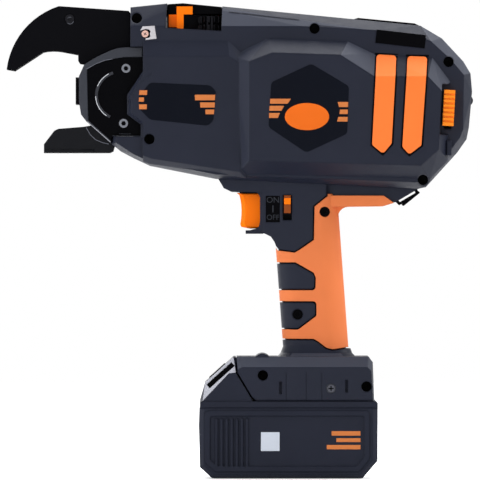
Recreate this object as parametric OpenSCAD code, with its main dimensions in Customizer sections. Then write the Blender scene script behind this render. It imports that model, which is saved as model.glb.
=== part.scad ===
// Battery rebar tying tool. Millimetres, +Z up, nose towards -X, photographed side towards -Y.
// Origin at the centre of the battery's flat base, on the split plane of the housing.

/* [Body] */
// height of the twisting axis above the base
axis_h = 242; // [232:1:256]
// front face of the body, measured forward of the origin
front_reach = 99; // [96:0.5:104]
// rear end of the body, measured behind the origin
rear_reach = 115.5; // [112:0.5:124]
// underside of the body below the twisting axis
body_drop = 60.5; // [58:0.5:66]
// top of the body above the wire line
crown_h = 13.5; // [12.5:0.5:16]
// half width of the body's core
core_w = 30; // [29.5:0.5:33]
// half width over the front panel
front_w = 35; // [33:0.5:38]
// half width over the rear pod
rear_w = 43; // [41:0.5:47]
// half width over the reel drum on the far side
drum_w = 52; // [50:0.5:58]
// height of the body's top bevel at the crest
bevel_h = 15; // [13:0.5:16]
// depth of the body's top bevel
bevel_w = 10; // [8:0.5:11]
// wall of the housing
wall = 2.6; // [2:0.1:3]
// gap between pieces that sit in one another
fit_gap = 0.3; // [0.2:0.05:0.4]
// radial gap of pins and shafts in their bores
run_gap = 0.05; // [0.03:0.01:0.08]

/* [Screws] */
// shank radius of a housing screw
screw_r = 2; // [1.6:0.1:2.2]
// head radius of a housing screw
screw_head_r = 3; // [2.6:0.1:3.3]
// head height of a housing screw
screw_head_h = 3.2; // [2.6:0.1:3.6]
// radius of a screw boss
boss_r = 4.2; // [3.8:0.1:4.2]
// length of a housing screw either side of the split
screw_half = 12; // [10:0.5:13]

/* [Nose] */
// half width of the nose shell
nose_w = 24; // [22:0.5:25]
// front face of the nose ahead of the body's front face
nose_reach = 32.3; // [31:0.1:34]
// wall of the nose shell
nose_wall = 3; // [2.5:0.1:3.5]
// thickness of a nose side plate
plate_t = 2; // [1.5:0.1:2.2]
// depth that a side plate lies below the nose rim
plate_sink = 0.5; // [0.3:0.1:0.8]
// mid radius of the round rib on a side plate
arc_r = 14.8; // [13:0.1:16]
// width of that rib
arc_w = 1.8; // [1.2:0.1:2.4]
// thickness of the front contact plate
contact_t = 2.2; // [1.6:0.1:2.6]
// half width of the front contact plate
contact_w = 16; // [13:0.5:18]

/* [Jaws] */
// half width of the upper jaw
jaw_w = 11; // [10:0.5:12]
// thickness of an upper jaw plate
jaw_plate_t = 4; // [3:0.1:4.5]
// tip of the upper jaw ahead of the body's front face
jaw_reach = 78; // [74:0.5:84]
// half width of the lower jaw
lower_w = 13; // [12:0.5:14]
// wall of the lower jaw
lower_wall = 3; // [2.5:0.1:3.5]
// radius of the lower jaw's pivot pin
pivot_r = 2.5; // [2:0.1:2.8]
// wire radius of the lower jaw's spring
jaw_spring_wire = 0.6; // [0.5:0.05:0.8]

/* [Twist drive] */
// tooth module of the twist and feed reduction gears
gear_module = 0.8; // [0.7:0.05:0.9]
// teeth of the sun pinion
sun_teeth = 12; // [12:12:24]
// teeth of a planet
planet_teeth = 12; // [12:12:24]
// face width of the planet gears
gear_face = 10; // [8:0.5:12]
// radius of the twist motor
motor_r = 18; // [16:0.5:20]
// length of the twist motor
motor_len = 54; // [48:1:58]
// front face of the twist motor ahead of the origin
motor_face = 40; // [38:0.5:42]
// radius of the spindle
spindle_r = 5; // [4:0.25:5.5]
// wall of the gear case
case_wall = 3.4; // [3:0.1:4]
// sideways play of gear teeth at the pitch circle
backlash = 0.14; // [0.1:0.01:0.2]

/* [Wire feed] */
// feed rollers behind the body's front face
feed_reach = 51; // [49:0.5:53]
// tooth module of the feed rollers
roller_module = 1; // [0.9:0.05:1.1]
// teeth of a feed roller
roller_teeth = 16; // [16:4:20]
// face width of a feed roller
roller_face = 10; // [8:0.5:11]
// teeth of the feed wheel
wheel_teeth = 40; // [36:2:42]
// teeth of the feed motor's pinion
pinion_teeth = 12; // [10:1:14]
// face width of the feed wheel
wheel_face = 5; // [4:0.5:6]
// radius of the feed motor
feed_motor_r = 8; // [7:0.5:8.5]
// height of the feed motor
feed_motor_h = 14; // [12:0.5:15]
// radius of the feed shafts and pins
feed_pin_r = 2; // [1.6:0.1:2.4]
// swing of the release lever's arm about its pin, measured ahead of the rollers
arm_reach = 14; // [13:0.5:15]
// radius of the wire hole in guides
wire_hole_r = 1.2; // [0.8:0.1:1.4]

/* [Reel] */
// radius of the reel's flanges
reel_r = 36; // [34:0.5:38]
// thickness of a flange
flange_t = 2; // [1.5:0.1:2.5]
// radius of the reel's core
reel_core_r = 16; // [14:0.5:18]
// radius of the wound wire
winding_r = 28; // [24:0.5:32]
// radius of the reel pin
reel_pin_r = 6; // [5:0.25:7]
// inner end of the reel from the split plane
reel_in = 8; // [7:0.5:9]
// how far the reel lies inside the drum's rim
reel_sink = 2; // [1:0.5:3]
// gap between the reel and its drum
reel_gap = 1.5; // [1:0.1:2]
// height of the twisting axis above the reel's axis
reel_drop = 11; // [9:0.5:12]
// length of the reel latch's thumb piece
latch_len = 22.5; // [20:0.5:24]
// width of the reel latch's thumb piece
latch_wide = 7; // [6:0.25:8]
// travel of the reel latch
latch_travel = 5; // [4:0.25:5.5]
// lean of the latch and its slot from upright
latch_lean = 3; // [0:0.5:4]

/* [Grip] */
// depth of the handle, front to back
grip_depth = 41; // [38:0.5:43]
// half width of the handle
grip_w = 18; // [17:0.25:19]
// corner radius of the handle
grip_round = 13; // [11:0.5:14]
// lean of the handle from upright
grip_lean = 4.2; // [2:0.1:6]
// handle axis behind the origin at its middle
grip_back = 14.8; // [13:0.1:16]
// thickness of the soft grip
over_t = 1.6; // [1.2:0.1:2]
// groove round the hard patches in the soft grip
grip_groove = 0.8; // [0.4:0.1:1.2]
// flare of the handle's neck where it meets the foot
neck_flare = 4.5; // [3:0.25:5.5]
// half width of the trigger
trigger_w = 7.5; // [6.5:0.25:8]
// travel of the trigger
trigger_travel = 6; // [5:0.25:6.5]
// travel of the power slide
slide_travel = 2.8; // [2:0.1:3]
// width of the power slide
slide_wide = 5; // [4:0.1:5.4]
// height of the power slide
slide_tall = 12.4; // [11:0.1:13]

/* [Battery] */
// half length of the battery
batt_half = 56; // [55:0.5:60]
// half width of the battery
batt_w = 37.5; // [36.5:0.25:40]
// height of the battery tub
tub_h = 44; // [43:0.5:47]
// top of the battery's cover plate above the tub
cover_t = 4.2; // [3.5:0.1:5]
// wall of the battery tub
tub_wall = 2.2; // [1.8:0.1:2.4]
// radius of a cell
cell_r = 9.1; // [9:0.05:9.2]
// length of a cell
cell_len = 65; // [64:0.25:66]
// top of the foot above the battery's cover
foot_h = 28; // [26:0.5:30]
// half width of the foot
foot_w = 36; // [34:0.5:37]
// half width of the battery rail's stem
rail_w = 14; // [12:0.5:15]
// overhang of the battery rail's flange
rail_lip = 6; // [5:0.5:7]
// height of the battery rail
rail_h = 5.8; // [5.4:0.1:6.4]
// length of the battery rail
rail_len = 65; // [60:1:66]
// travel of the battery's release button
button_travel = 2.5; // [2:0.1:3]

/* [Hidden] */
$fn = 48;
eps = 0.01;
press_angle = 20;

// ends and underside of the body
bf = -front_reach;
br = rear_reach;
bu = axis_h - body_drop;

// twist gears
ring_teeth = sun_teeth + 2 * planet_teeth;
planet_r = gear_module * (sun_teeth + planet_teeth) / 2;
ring_root_r = gear_module * (ring_teeth / 2 + 1.05);
ring_out_r = ring_root_r + 2.2;
case_r = ring_out_r + run_gap + case_wall;
pad_h = max(case_r, motor_r) + 0.5;
face_x = -motor_face;
ring_back = face_x - 5;
gear_back = ring_back - 1;
gear_front = gear_back - gear_face;
ring_front = gear_front - 1;
carrier_t = 5;
carrier_back = gear_front - 0.6;
carrier_front = carrier_back - carrier_t;
case_front = carrier_front - 4.6;
neck_front = case_front - 5;
bearing_r = spindle_r + 3.5;
planet_pin_r = 1.5;
sun_shaft_r = 2;

// feed stack, upwards from the gear case's pad
base_z = axis_h + pad_h;
base_t = 2.5;
wheel_z = base_z + base_t + 0.8;
shelf_z = wheel_z + wheel_face + 0.8;
shelf_t = 2;
arm_z = shelf_z + shelf_t + 0.4;
arm_t = 3;
roller_z = arm_z + arm_t + 2;
wire_z = roller_z + roller_face / 2;
top_z = wire_z + crown_h;
feed_x = bf + feed_reach;
// opening over the feed rollers, the body's crest in it and the end of the wire guide
win_front = feed_x - 27.5;
win_rear = feed_x + 6.5;
crest_x = feed_x - 18;
guide_end = feed_x - 31;
roller_y = roller_module * roller_teeth / 2;
roller_tip = roller_module * (roller_teeth / 2 + 0.8);
pinion_turn = 7.5;
pinion_gap = gear_module * (wheel_teeth + pinion_teeth) / 2;
pinion_x = feed_x + pinion_gap * cos(pinion_turn);
pinion_y = roller_y + pinion_gap * sin(pinion_turn);
wheel_tip = gear_module * (wheel_teeth / 2 + 0.8);
arm_x = feed_x - arm_reach;
column_x = feed_x - wheel_tip - 1;

// body outline
rear_top = top_z - 14.5;
body_side = [
  [bf, top_z - 3], [win_front - 0.5, top_z - 0.6], [crest_x, top_z], [br - 32.5, rear_top],
  [br - 19, rear_top - 8], [br - 5.5, rear_top - 22.5], [br - 1, rear_top - 30], [br, axis_h + 0.5],
  [br - 2, axis_h - 22], [br - 3.5, axis_h - 29.5], [br - 9.5, axis_h - 38], [br - 29, bu + 1],
  [br - 33.5, bu], [-45.5, bu + 6.3], [bf + 12, bu + 14.5], [bf + 2, bu + 19.2], [bf - 6.5, bu + 23.7],
  [bf - 12, axis_h - 32.3], [bf - 11.3, axis_h - 27], [bf, axis_h + 28.5]
];
body_face = [
  [bf, top_z - bevel_h], [7.5, top_z - bevel_h], [53, rear_top - 3],
  [br - 33.5, rear_top - 7], [br - 26, rear_top - 10], [br - 13.5, rear_top - 21.5],
  [br - 5.5, rear_top - 31], [br - 6, axis_h - 23.5], [br - 8, axis_h - 28.5], [br - 19.5, axis_h - 44],
  [br - 33, bu + 4], [-45.5, bu + 9], [bf + 12, bu + 17], [bf + 2, bu + 21.7], [bf - 9, axis_h - 31.5],
  [bf - 9, axis_h - 27], [bf, axis_h + 28.5]
];

// height of the body's long straight top edge
function ridge_z(x) =
  top_z + (rear_top - top_z) * (x - crest_x) / (br - 32.5 - crest_x);

// front panel, and the rear pod's hood and tail: foot of the bevel and flat
front_foot = [
  [bf + 8, axis_h + 34], [-38, axis_h + 34], [-26, axis_h + 23], [-26, bu + 6.5], [bf + 12, bu + 15.5],
  [bf + 8, bu + 17]
];
front_flat = [
  [bf + 8, axis_h + 22.5], [-37, axis_h + 22.5], [-30, axis_h + 18], [-30, bu + 10.5], [bf + 13, bu + 19],
  [bf + 8, bu + 21]
];
tongue_foot = [
  [bf + 9, axis_h + 16], [bf - 2, axis_h - 1.5], [bf - 2, axis_h - 14], [bf + 9, axis_h - 22]
];
tongue_flat = [
  [bf + 9, axis_h + 13.5], [bf + 0.5, axis_h - 2], [bf + 0.5, axis_h - 13], [bf + 9, axis_h - 19.5]
];
hood_foot = [
  [-35.5, axis_h + 22.5], [-25, axis_h + 28.5], [-12.5, axis_h + 34.5], [37.8, axis_h + 32.4],
  [54.8, axis_h + 24.3], [54.8, bu + 6.3], [-33, bu + 8.5]
];
hood_flat = [
  [-24.5, axis_h + 19], [-10, axis_h + 24.5], [32.8, axis_h + 23.1], [53.9, axis_h + 9.6],
  [53.9, bu + 15.3], [-24.5, bu + 17.5]
];
tail_foot = [
  [30, axis_h + 24.3], [54.8, axis_h + 24.3], [br - 25, axis_h + 22.5], [br - 13.5, axis_h + 7],
  [br - 15.5, axis_h - 43], [br - 27, bu + 5.5], [30, bu + 7]
];
tail_flat = [
  [30, axis_h + 9.6], [br - 28, axis_h + 9.6], [br - 19.5, axis_h + 0.5], [br - 21.5, axis_h - 36],
  [br - 32.5, bu + 14.5], [30, bu + 16]
];
pod_under = core_w - 2;

// reel
reel_z = axis_h - reel_drop;
drum_r = reel_r + reel_gap;
drum_wall = 2.5;
reel_x = br - drum_r - drum_wall - 10;
reel_out = drum_w - reel_sink;
drum_floor = reel_in - 2.5;
reel_rib = 0.9;
pin_grip = 8;
pin_draw = pin_grip + 1;
latch_x = br - 15;
latch_z = axis_h - 10;
latch_deep = 11;

// nose
nose_x = bf - nose_reach;
nose_back = bf + 7.5;
nose_in = nose_w - plate_t - plate_sink;
nose_side = [
  [nose_x + 3.3, axis_h + 17.5], [bf - 21, axis_h + 22.3], [bf - 13, axis_h + 26],
  [bf - 8, axis_h + 27.7], [bf - 3.5, axis_h + 28.2], [nose_back, axis_h + 28.2],
  [nose_back, axis_h - 27.5], [bf - 11.6, axis_h - 27.5], [bf - 12.5, axis_h - 32],
  [nose_x + 4.8, axis_h - 18.5], [nose_x + 1.3, axis_h - 14], [nose_x, axis_h - 6], [nose_x, axis_h + 10]
];
nose_rim = inset(nose_side, -fit_gap);
plate_side = [
  [nose_x + 5.2, axis_h + 14.2], [bf - 21.7, axis_h + 17.6], [bf - 15.8, axis_h + 19.9],
  [bf - 9.4, axis_h + 21.1], [bf - 3.7, axis_h + 21.9], [nose_back - eps, axis_h + 22],
  [nose_back - eps, axis_h - 27], [bf - 11.3, axis_h - 27], [bf - 12.2, axis_h - 30.2],
  [nose_x + 6, axis_h - 17.6]
];
plate_screws = [[bf - 2.8, axis_h + 15], [bf - 4.3, axis_h - 19.5]];
plate_screw_r = 2.8;
contact_low = axis_h - 7.5;
contact_top = axis_h + 9.5;
hook_slot_w = 8;

// jaws
jaw_x = bf - jaw_reach;
jaw_side = [
  each arc_through([jaw_x, axis_h + 14.5], [jaw_x + 8.4, axis_h + 36.4], [jaw_x + 32.8, top_z - 2], 12),
  [bf - 1.3, top_z - 5], [bf - fit_gap, top_z - 6.2], [bf - fit_gap, nose_rim[4][1]], nose_rim[4],
  nose_rim[3], nose_rim[2], nose_rim[1], nose_rim[0] + [0, 0.1], [bf - 32, axis_h + 18.2],
  [bf - 33, axis_h + 20], [bf - 33, axis_h + 23.7],
  each arc_through([bf - 43, axis_h + 25.6], [bf - 49, axis_h + 26.1], [jaw_x + 23, axis_h + 25.4], 4),
  [jaw_x + 5, axis_h + 13.6]
];
guide_side = [
  [jaw_x + 7, axis_h + 20.5],
  each arc_through([jaw_x + 8.5, axis_h + 30], [jaw_x + 15.5, axis_h + 41], [jaw_x + 33.5, top_z - 4.5], 8),
  [bf - 1.3, top_z - 7], [guide_end, top_z - 7], [guide_end, axis_h + 29.5], [bf - 3.5, axis_h + 29.5],
  [bf - 13.2, axis_h + 28.4], [bf - 30, axis_h + 26.5], [bf - 44, axis_h + 28.5],
  [bf - 52, axis_h + 28.5], [jaw_x + 22, axis_h + 28]
];
guide_w = jaw_w - jaw_plate_t;
jaw_screw = [jaw_x + 39.6, wire_z + 3.5];
jaw_pin = [bf - 20, axis_h + 34];
jaw_head_t = 1.6;
pivot_x = bf - 14;
pivot_z = axis_h - 24.5;
lower_end = pivot_x - 40.5;
lower_low = axis_h - 38;
lower_side = [
  [lower_end, lower_low], [lower_end, lower_low + 5.5], [lower_end + 6.5, lower_low + 14],
  [lower_end + 9, lower_low + 15.2], [pivot_x - 15.5, lower_low + 16.5], [pivot_x - 4, pivot_z + 5],
  [pivot_x + 4.5, pivot_z + 3], [pivot_x + 5, pivot_z - 4], [pivot_x + 3, lower_low + 1],
  [pivot_x + 1, lower_low]
];
lower_trough = [
  [lower_end + 4.5, lower_low + 4], [lower_end + 10.5, lower_low + 20], [pivot_x + 20, lower_low + 30],
  [pivot_x + 20, lower_low + 4]
];
notch_gap = 0.5;
flange_out = 0.9;
flange_h = 1.9;

// grip and trigger, downwards from the body's underside
foot_low = tub_h + cover_t + 0.5;
foot_top = tub_h + cover_t + foot_h;
grip_mid = (bu + foot_top) / 2 - 10.8;
block_w = grip_w + 0.5;
block_front = -16.5;
block_side = [
  [block_front, bu + 6], [block_front, bu - 27.5], [-14, bu - 28.5], [-10.8, bu - 30.1],
  [-8.6, bu - 33.3], [-7.4, bu - 36.2], [-6, bu - 38], [3.8, bu - 39.3], [6, bu - 38.2],
  [15.4, bu - 31.7], [15.8, bu - 10.8], [24, bu - 4.2], [24, bu + 6]
];
lip_w = 12;
brow_side = [
  [-45.5, bu + 9], [-40.5, bu + 0.5], [-35.5, bu - 1.9], [20, bu - 3.5], [20, bu + 9]
];
keel_side = [
  [19, bu + 6], [19, bu - 3.8], [67.5, bu - 8.5], [br - 33.5, bu + eps], [br - 33.5, bu + 6]
];
keel_w = 13;
strip_side = [
  [20, bu - 4.2], [60.1, bu - 4.3], [66.6, bu - 8.9], [59.6, bu - 11], [37.8, bu - 11.3], [20, bu - 11.3]
];
fillet_side = [
  [20, bu - 10], [39, bu - 10],
  each arc_through([37.8, bu - 11.3], [33.4, bu - 13.2], [31.4, bu - 17.6], 5), [20, bu - 17.6]
];
fillet_w = 10;
strip_w = 15;
neck_side = [
  [-20, foot_top + 10.4], [15.8, foot_top + 10.2], [18.9, foot_top + 8.4], [23.6, foot_top + 4.7],
  [27.7, foot_top + 3.6], [36.7, foot_top + 4.9], [50, foot_top + 5], [50, foot_low - 1],
  [-20, foot_low - 1]
];
neck_x = grip_back + (grip_mid - foot_top) * tan(grip_lean);
patch_round = 2.2;
neck_round = 1;
patch_a = [
  [-20, grip_mid + 16.4], [4.4, grip_mid + 16.4], [15.4, grip_mid + 10.2], [16.6, grip_mid + 7.6],
  [16.4, grip_mid + 0.5], [-20, grip_mid + 0.5]
];
patch_b = [
  [-20, grip_mid - 8], [17, grip_mid - 8], [17, grip_mid - 16],
  [6, grip_mid - 24.3], [-20, grip_mid - 23.6]
];
trigger_mid = bu - 14.5;
trigger_rear = block_front + 0.6;
trigger_side = [
  [-32.4, bu - 2.4], each arc_through([-30.6, bu - 4], [-29.3, bu - 12.5], [-30.1, bu - 22.2], 6),
  [-29.4, bu - 24], [-23.7, bu - 25.1], [-19, bu - 24.9], [trigger_rear, bu - 24],
  [trigger_rear, bu - 2.6]
];
pocket_end = trigger_rear + trigger_travel + 0.6;
trigger_edge = 1.8;
stem_end = -6;
stem_w = 5;
stem_h = 7;
stop_x = stem_end + trigger_travel + 3;
spring_bore_r = 3.2;
slide_x = -0.5;
slide_top = bu - 4.2;
slide_deep = 5;
plate_recess = 0.6;

// battery
cover_z = tub_h + fit_gap;
cover_top = tub_h + cover_t;
tub_side = [
  [-batt_half + 0.4, tub_h], [-batt_half, tub_h - 11], [-batt_half + 0.6, 7], [-batt_half + 8.3, 0],
  [batt_half - 9.5, 0], [batt_half, 11], [batt_half, tub_h]
];
tub_face = [
  [-batt_half + 3, tub_h], [-batt_half + 3, 8], [-batt_half + 9.8, 2.4], [batt_half - 11, 2.4],
  [batt_half - 3, 12], [batt_half - 3, tub_h]
];
relief_t = 1.1;
relief_out = [
  [-batt_half + 3.6, tub_h - 1.5], [batt_half - 5, tub_h - 1.5], [batt_half - 5, 12.5],
  [batt_half - 11.5, 4.2], [-batt_half + 10.5, 4.2], [-batt_half + 3.6, 10]
];
relief_in = inset(relief_out, 3.4);
relief_ribs = 7;
relief_pitch = 3.2;
relief_rib_x = -batt_half + 10.2;
tower_front = -batt_half + 0.7;
tower_side = [
  [tower_front, cover_z], [tower_front, cover_top + 0.9], [tower_front + 3.2, cover_top + 11.8],
  [tower_front + 18.6, cover_top + 25.6], [tower_front + 20.9, foot_top - 0.2], [-32.9, foot_top - 0.2],
  [-32.9, foot_top - 10.2], [-23.6, cover_top + 2.6], [-20.5, cover_z]
];
tower_face = [
  [tower_front + 1.6, cover_z], [tower_front + 1.6, cover_top + 0.3], [tower_front + 18, foot_top - 10.4],
  [-32.9, foot_top - 9.8], [-32.9, foot_top - 10.2], [-23.6, cover_top + 2.6], [-20.5, cover_z]
];
tower_w = foot_w;
tower_bevel = 7;
foot_side = [
  [-32.4, foot_top - 9.7], [-32.4, foot_top], [50.4, foot_top], [53, foot_top - 3.5], [54, foot_low],
  [-20, foot_low], [-23.2, cover_top + 3]
];
foot_face = [
  [-31.6, foot_top - 10], [-31.6, foot_top - 8], [-29, foot_top - 6.5], [49.6, foot_top - 6.5],
  [52, foot_top - 9], [53, foot_low], [-20, foot_low], [-22.6, cover_top + 3]
];
foot_slots = [[-4.8, foot_low + 8], [36.6, foot_low + 9]];
foot_lines = [-1.3, 11.3, 21];
foot_screw_at = [26.8, foot_low + 7.6];
foot_screw_r = 2.5;
tongue_w = 20;
tongue_out = 0.9;
tongue_side = [
  foot_side[0] - [tongue_out, 0], [foot_side[1][0] - tongue_out, foot_top - 1], [-18, foot_top - 1],
  [-18, foot_low], foot_side[5] - [tongue_out, 0], foot_side[6] - [tongue_out, 0]
];
rail_x = -15;
lip_t = rail_h - 3;
button_at = [tower_front + 10.9, cover_top + 18.7];
button_turn = 42;
button_len = 13;
button_w = 12;
button_t = 4;
blade_t = 0.8;
cell_pitch = 2 * cell_r + 0.4;
cell_low = tub_wall + 0.2 + cell_r;
cell_rows = floor((tub_h - tub_wall - 0.2) / cell_pitch);
cell_cols = floor(2 * (batt_half - 3 - tub_wall) / cell_pitch);
cell_places = [for (i = [0:cell_cols - 1], j = [0:cell_rows - 1]) [
  (i - (cell_cols - 1) / 2) * cell_pitch, cell_low + j * cell_pitch
]];
holder_half = cell_pitch * (cell_cols - 1) / 2 + 6.5;
holder_t = 6;
holder_y = cell_len / 2 - 16.5;

// screws: place along X and Z, and how deep the head sits from the split plane
head_gap = 0.25;
screw_list = [
  [bf + 4, top_z - 10, 14], [bf + 12, axis_h - 29.5, 14], [16.5, top_z - 16.5, 14],
  [br - 15, axis_h + 19, 14], [br - 31, bu + 5.5, 12], [23, bu - 14.5, 12], [6, grip_mid - 15.5, 12],
  [-15.9, foot_top - 11.7, 14], [49, foot_low + 8.8, 14]
];
boss_list = [0, 1, 2, 3, 4, 6, 7, 8];

// control board, panel and stripes
board_t = 1.6;
board_y = 34;
panel_t = 1.2;
stripe_t = 0.8;
stripe_sink = 0.7;
stripe_round = 2;
stripe_gap = 0.7;
stripe_a = rounded([
  [55.4, axis_h + 23.7], [67.7, axis_h + 23], [64.6, axis_h - 32.4], [59.2, axis_h - 38.8],
  [52.4, axis_h - 33.2]
], stripe_round);
stripe_b = rounded([
  [74.8, axis_h + 22.6], [87.1, axis_h + 22.3], [83.2, axis_h - 33.5], [75.6, axis_h - 39.3],
  [71.3, axis_h - 34.4]
], stripe_round);

// twist hook and the lower jaw's spring
hook_front = nose_x + 3;
hook_back = neck_front - 14;
hook_len = 8;
jaw_coil_r = pivot_r + jaw_spring_wire + 0.5;
jaw_coil_pitch = 2 * jaw_spring_wire + 0.6;
jaw_coil_turns = 5;
jaw_coil_half = jaw_coil_pitch * jaw_coil_turns / 2;
jaw_coil = [for (k = [0:8 * jaw_coil_turns]) [
  pivot_x - jaw_coil_r * sin(45 * k), -jaw_coil_half + jaw_coil_pitch * k / 8,
  pivot_z - jaw_coil_r * cos(45 * k)
]];
jaw_spring_path = concat(
  [[pivot_x - 14, -jaw_coil_half, pivot_z - jaw_coil_r - 5],
  [pivot_x - 12.6, -jaw_coil_half, pivot_z - jaw_coil_r - 4.4]],
  jaw_coil,
  [[pivot_x + 3.4, jaw_coil_half, pivot_z - jaw_coil_r - 1],
  [pivot_x + 5, jaw_coil_half, pivot_z - jaw_coil_r - 2.6]]
);
echo(jaw_spring_gap = jaw_coil_pitch - 2 * jaw_spring_wire);

// feed bracket and release lever
bracket_left = -15;
bracket_right = roller_y + wheel_tip + 0.4;
bracket_end = pinion_x + feed_motor_r;
lever_y = 6 - core_w;
tube_rib = bracket_end + 10.4;
tube_end = tube_rib + 9;
tube_r = wire_hole_r + 0.6;
pin_back = -rear_w + wall + pin_draw + 1;

// trigger spring
trigger_coil_r = 2.3;
trigger_wire = 0.4;
trigger_coil_turns = 4;
trigger_spring_x = stem_end + 1.5;
trigger_coil_pitch = (stop_x - trigger_spring_x - 0.8) / trigger_coil_turns;

// eye under the keel's rear slope
keel_along = unit(keel_side[3] - keel_side[2]);
eye_len = norm(keel_side[3] - keel_side[2]) - 0.8;

function unit(v) = v / norm(v);
function right_of(v) = [v[1], -v[0]];
function shift_corner(a, b, c, d) =
  let (u = right_of(unit(b - a)), v = right_of(unit(c - b)))
  b + (u + v) * d / (1 + u * v);
// a clockwise outline drawn in by d
function inset(p, d) =
  let (n = len(p))
  [for (i = [0:n - 1]) shift_corner(p[(i + n - 1) % n], p[i], p[(i + 1) % n], d)];
function polar(r, a) = [r * cos(a), r * sin(a)];
// an outline with every corner turned into an arc of radius r
function corner_arc(a, b, c, r) =
  let (
    u = unit(a - b), v = unit(c - b), half = acos(u * v) / 2, o = b + unit(u + v) * r / sin(half),
    p = b + u * r / tan(half) - o, q = b + v * r / tan(half) - o, start = atan2(p[1], p[0]),
    sweep = (atan2(q[1], q[0]) - start + 540) % 360 - 180
  )
  [for (k = [0:4]) o + polar(r, start + sweep * k / 4)];
function rounded(p, r) =
  let (n = len(p))
  [for (i = [0:n - 1]) each corner_arc(p[(i + n - 1) % n], p[i], p[(i + 1) % n], r)];
// n steps along the circle through three points
function arc_through(a, b, c, n) =
  let (
    d = 2 * (a[0] * (b[1] - c[1]) + b[0] * (c[1] - a[1]) + c[0] * (a[1] - b[1])),
    o = [
      (a * a * (b[1] - c[1]) + b * b * (c[1] - a[1]) + c * c * (a[1] - b[1])) / d,
      (a * a * (c[0] - b[0]) + b * b * (a[0] - c[0]) + c * c * (b[0] - a[0])) / d
    ],
    start = atan2(a[1] - o[1], a[0] - o[0]),
    sweep = (atan2(c[1] - o[1], c[0] - o[0]) - start + 540) % 360 - 180
  )
  [for (k = [0:n]) o + polar(norm(a - o), start + sweep * k / n)];

// involute teeth: half angle of a tooth at radius r
function involute(a) = tan(a) * 180 / PI - a;
function half_tooth(r, base, at_pitch) =
  at_pitch + involute(press_angle) - involute(acos(min(1, base / r)));
function gear_outline(m, z, add, ded, play) =
  let (
    rp = m * z / 2, base = rp * cos(press_angle), tip = rp + add * m, root = rp - ded * m,
    at_pitch = 90 / z - play / (2 * rp) * 180 / PI, low = max(root, base),
    radii = [for (k = [0:3]) low + (tip - low) * k / 3]
  )
  [for (t = [0:z - 1]) let (mid = 360 * t / z) each concat(
    root < base ? [polar(root, mid - half_tooth(low, base, at_pitch))] : [],
    [for (r = radii) polar(r, mid - half_tooth(r, base, at_pitch))],
    [for (k = [3:-1:0]) polar(radii[k], mid + half_tooth(radii[k], base, at_pitch))],
    root < base ? [polar(root, mid + half_tooth(low, base, at_pitch))] : []
  )];

// a tube swept along points, with flat ends
function frame_at(path, i) =
  let (
    n = len(path), t = unit(path[min(i + 1, n - 1)] - path[max(i - 1, 0)]),
    s = abs(t[1]) > 0.9 ? [1, 0, 0] : [0, 1, 0], u = unit(cross(t, s))
  )
  [u, cross(t, u)];
module swept_tube(path, r, sides) {
  n = len(path);
  rings = [for (i = [0:n - 1]) let (f = frame_at(path, i)) each [
    for (k = [0:sides - 1]) path[i] + r * (f[0] * cos(360 * k / sides) + f[1] * sin(360 * k / sides))
  ]];
  skin = [for (i = [0:n - 2], k = [0:sides - 1])
    let (a = i * sides + k, b = i * sides + (k + 1) % sides)
    each [[a, a + sides, b + sides], [a, b + sides, b]]
  ];
  first = [for (k = [0:sides - 1]) k];
  last = [for (k = [sides - 1:-1:0]) (n - 1) * sides + k];
  polyhedron(points = rings, faces = concat(skin, [first, last]), convexity = 6);
}

module slab(y0, y1) {
  translate([0, y1, 0])
    rotate([90, 0, 0])
      linear_extrude(y1 - y0)
        children();
}
module block(low, high) {
  translate(low)
    cube(high - low);
}
module rod_y(x, z, r, y0, y1) {
  translate([x, y1, z])
    rotate([90, 0, 0])
      cylinder(r = r, h = y1 - y0);
}
module rod_x(x0, x1, r, y = 0, z = axis_h) {
  translate([x0, y, z])
    rotate([0, 90, 0])
      cylinder(r = r, h = x1 - x0);
}
module rod_z(x, y, r, z0, z1) {
  translate([x, y, z0])
    cylinder(r = r, h = z1 - z0);
}
// local X to Y, local Y to Z, local Z to X, on the twisting axis
module on_axis(x) {
  translate([x, 0, axis_h])
    rotate([90, 0, 90])
      children();
}

module round_rect(depth, width, r) {
  square([depth - 2 * r, width], center = true);
  square([depth, width - 2 * r], center = true);
  for (i = [-1, 1], j = [-1, 1])
    translate([i * (depth / 2 - r), j * (width / 2 - r)])
      circle(r);
}
module handle(less, low, high) {
  translate([grip_back, 0, grip_mid])
    rotate([0, -grip_lean, 0])
      translate([0, 0, low - grip_mid])
        linear_extrude(high - low)
          round_rect(grip_depth - 2 * less, 2 * (grip_w - less), grip_round - less);
}

// housing halves are drawn at +Y; the photographed half is a mirror image
module half_outer(far) {
  hull() {
    slab(0, core_w - bevel_w)
      polygon(body_side);
    slab(0, core_w)
      polygon(body_face);
  }
  hull() {
    slab(pod_under, pod_under + 1)
      polygon(front_foot);
    slab(pod_under, front_w)
      polygon(front_flat);
  }
  hull() {
    slab(nose_w + fit_gap, nose_w + 3)
      polygon(tongue_foot);
    slab(nose_w + fit_gap, front_w)
      polygon(tongue_flat);
  }
  pod(hood_foot, hood_flat);
  pod_tail();
  if (far) {
    rod_y(reel_x, reel_z, drum_r + drum_wall, 0, drum_w);
    feed_room(fit_gap + wall, base_z - wall);
  }
  rod_y(br - 2.6, axis_h - 5, 3.4, 0, 10);
  slab(0, block_w)
    polygon(block_side);
  slab(0, lip_w)
    polygon([[-26.7, bu - 28.3], [-26.7, bu - 26.1], [block_front + 1, bu - 25.9],
      [block_front + 1, bu - 28.3]]);
  slab(0, block_w)
    polygon(brow_side);
  slab(0, keel_w)
    polygon(keel_side);
  intersection() {
    handle_core();
    block([-90, 0, foot_low + 2], [90, 40, bu + 4]);
  }
  foot_outer();
  slab(0, tongue_w)
    polygon(tongue_side);
}
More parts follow.
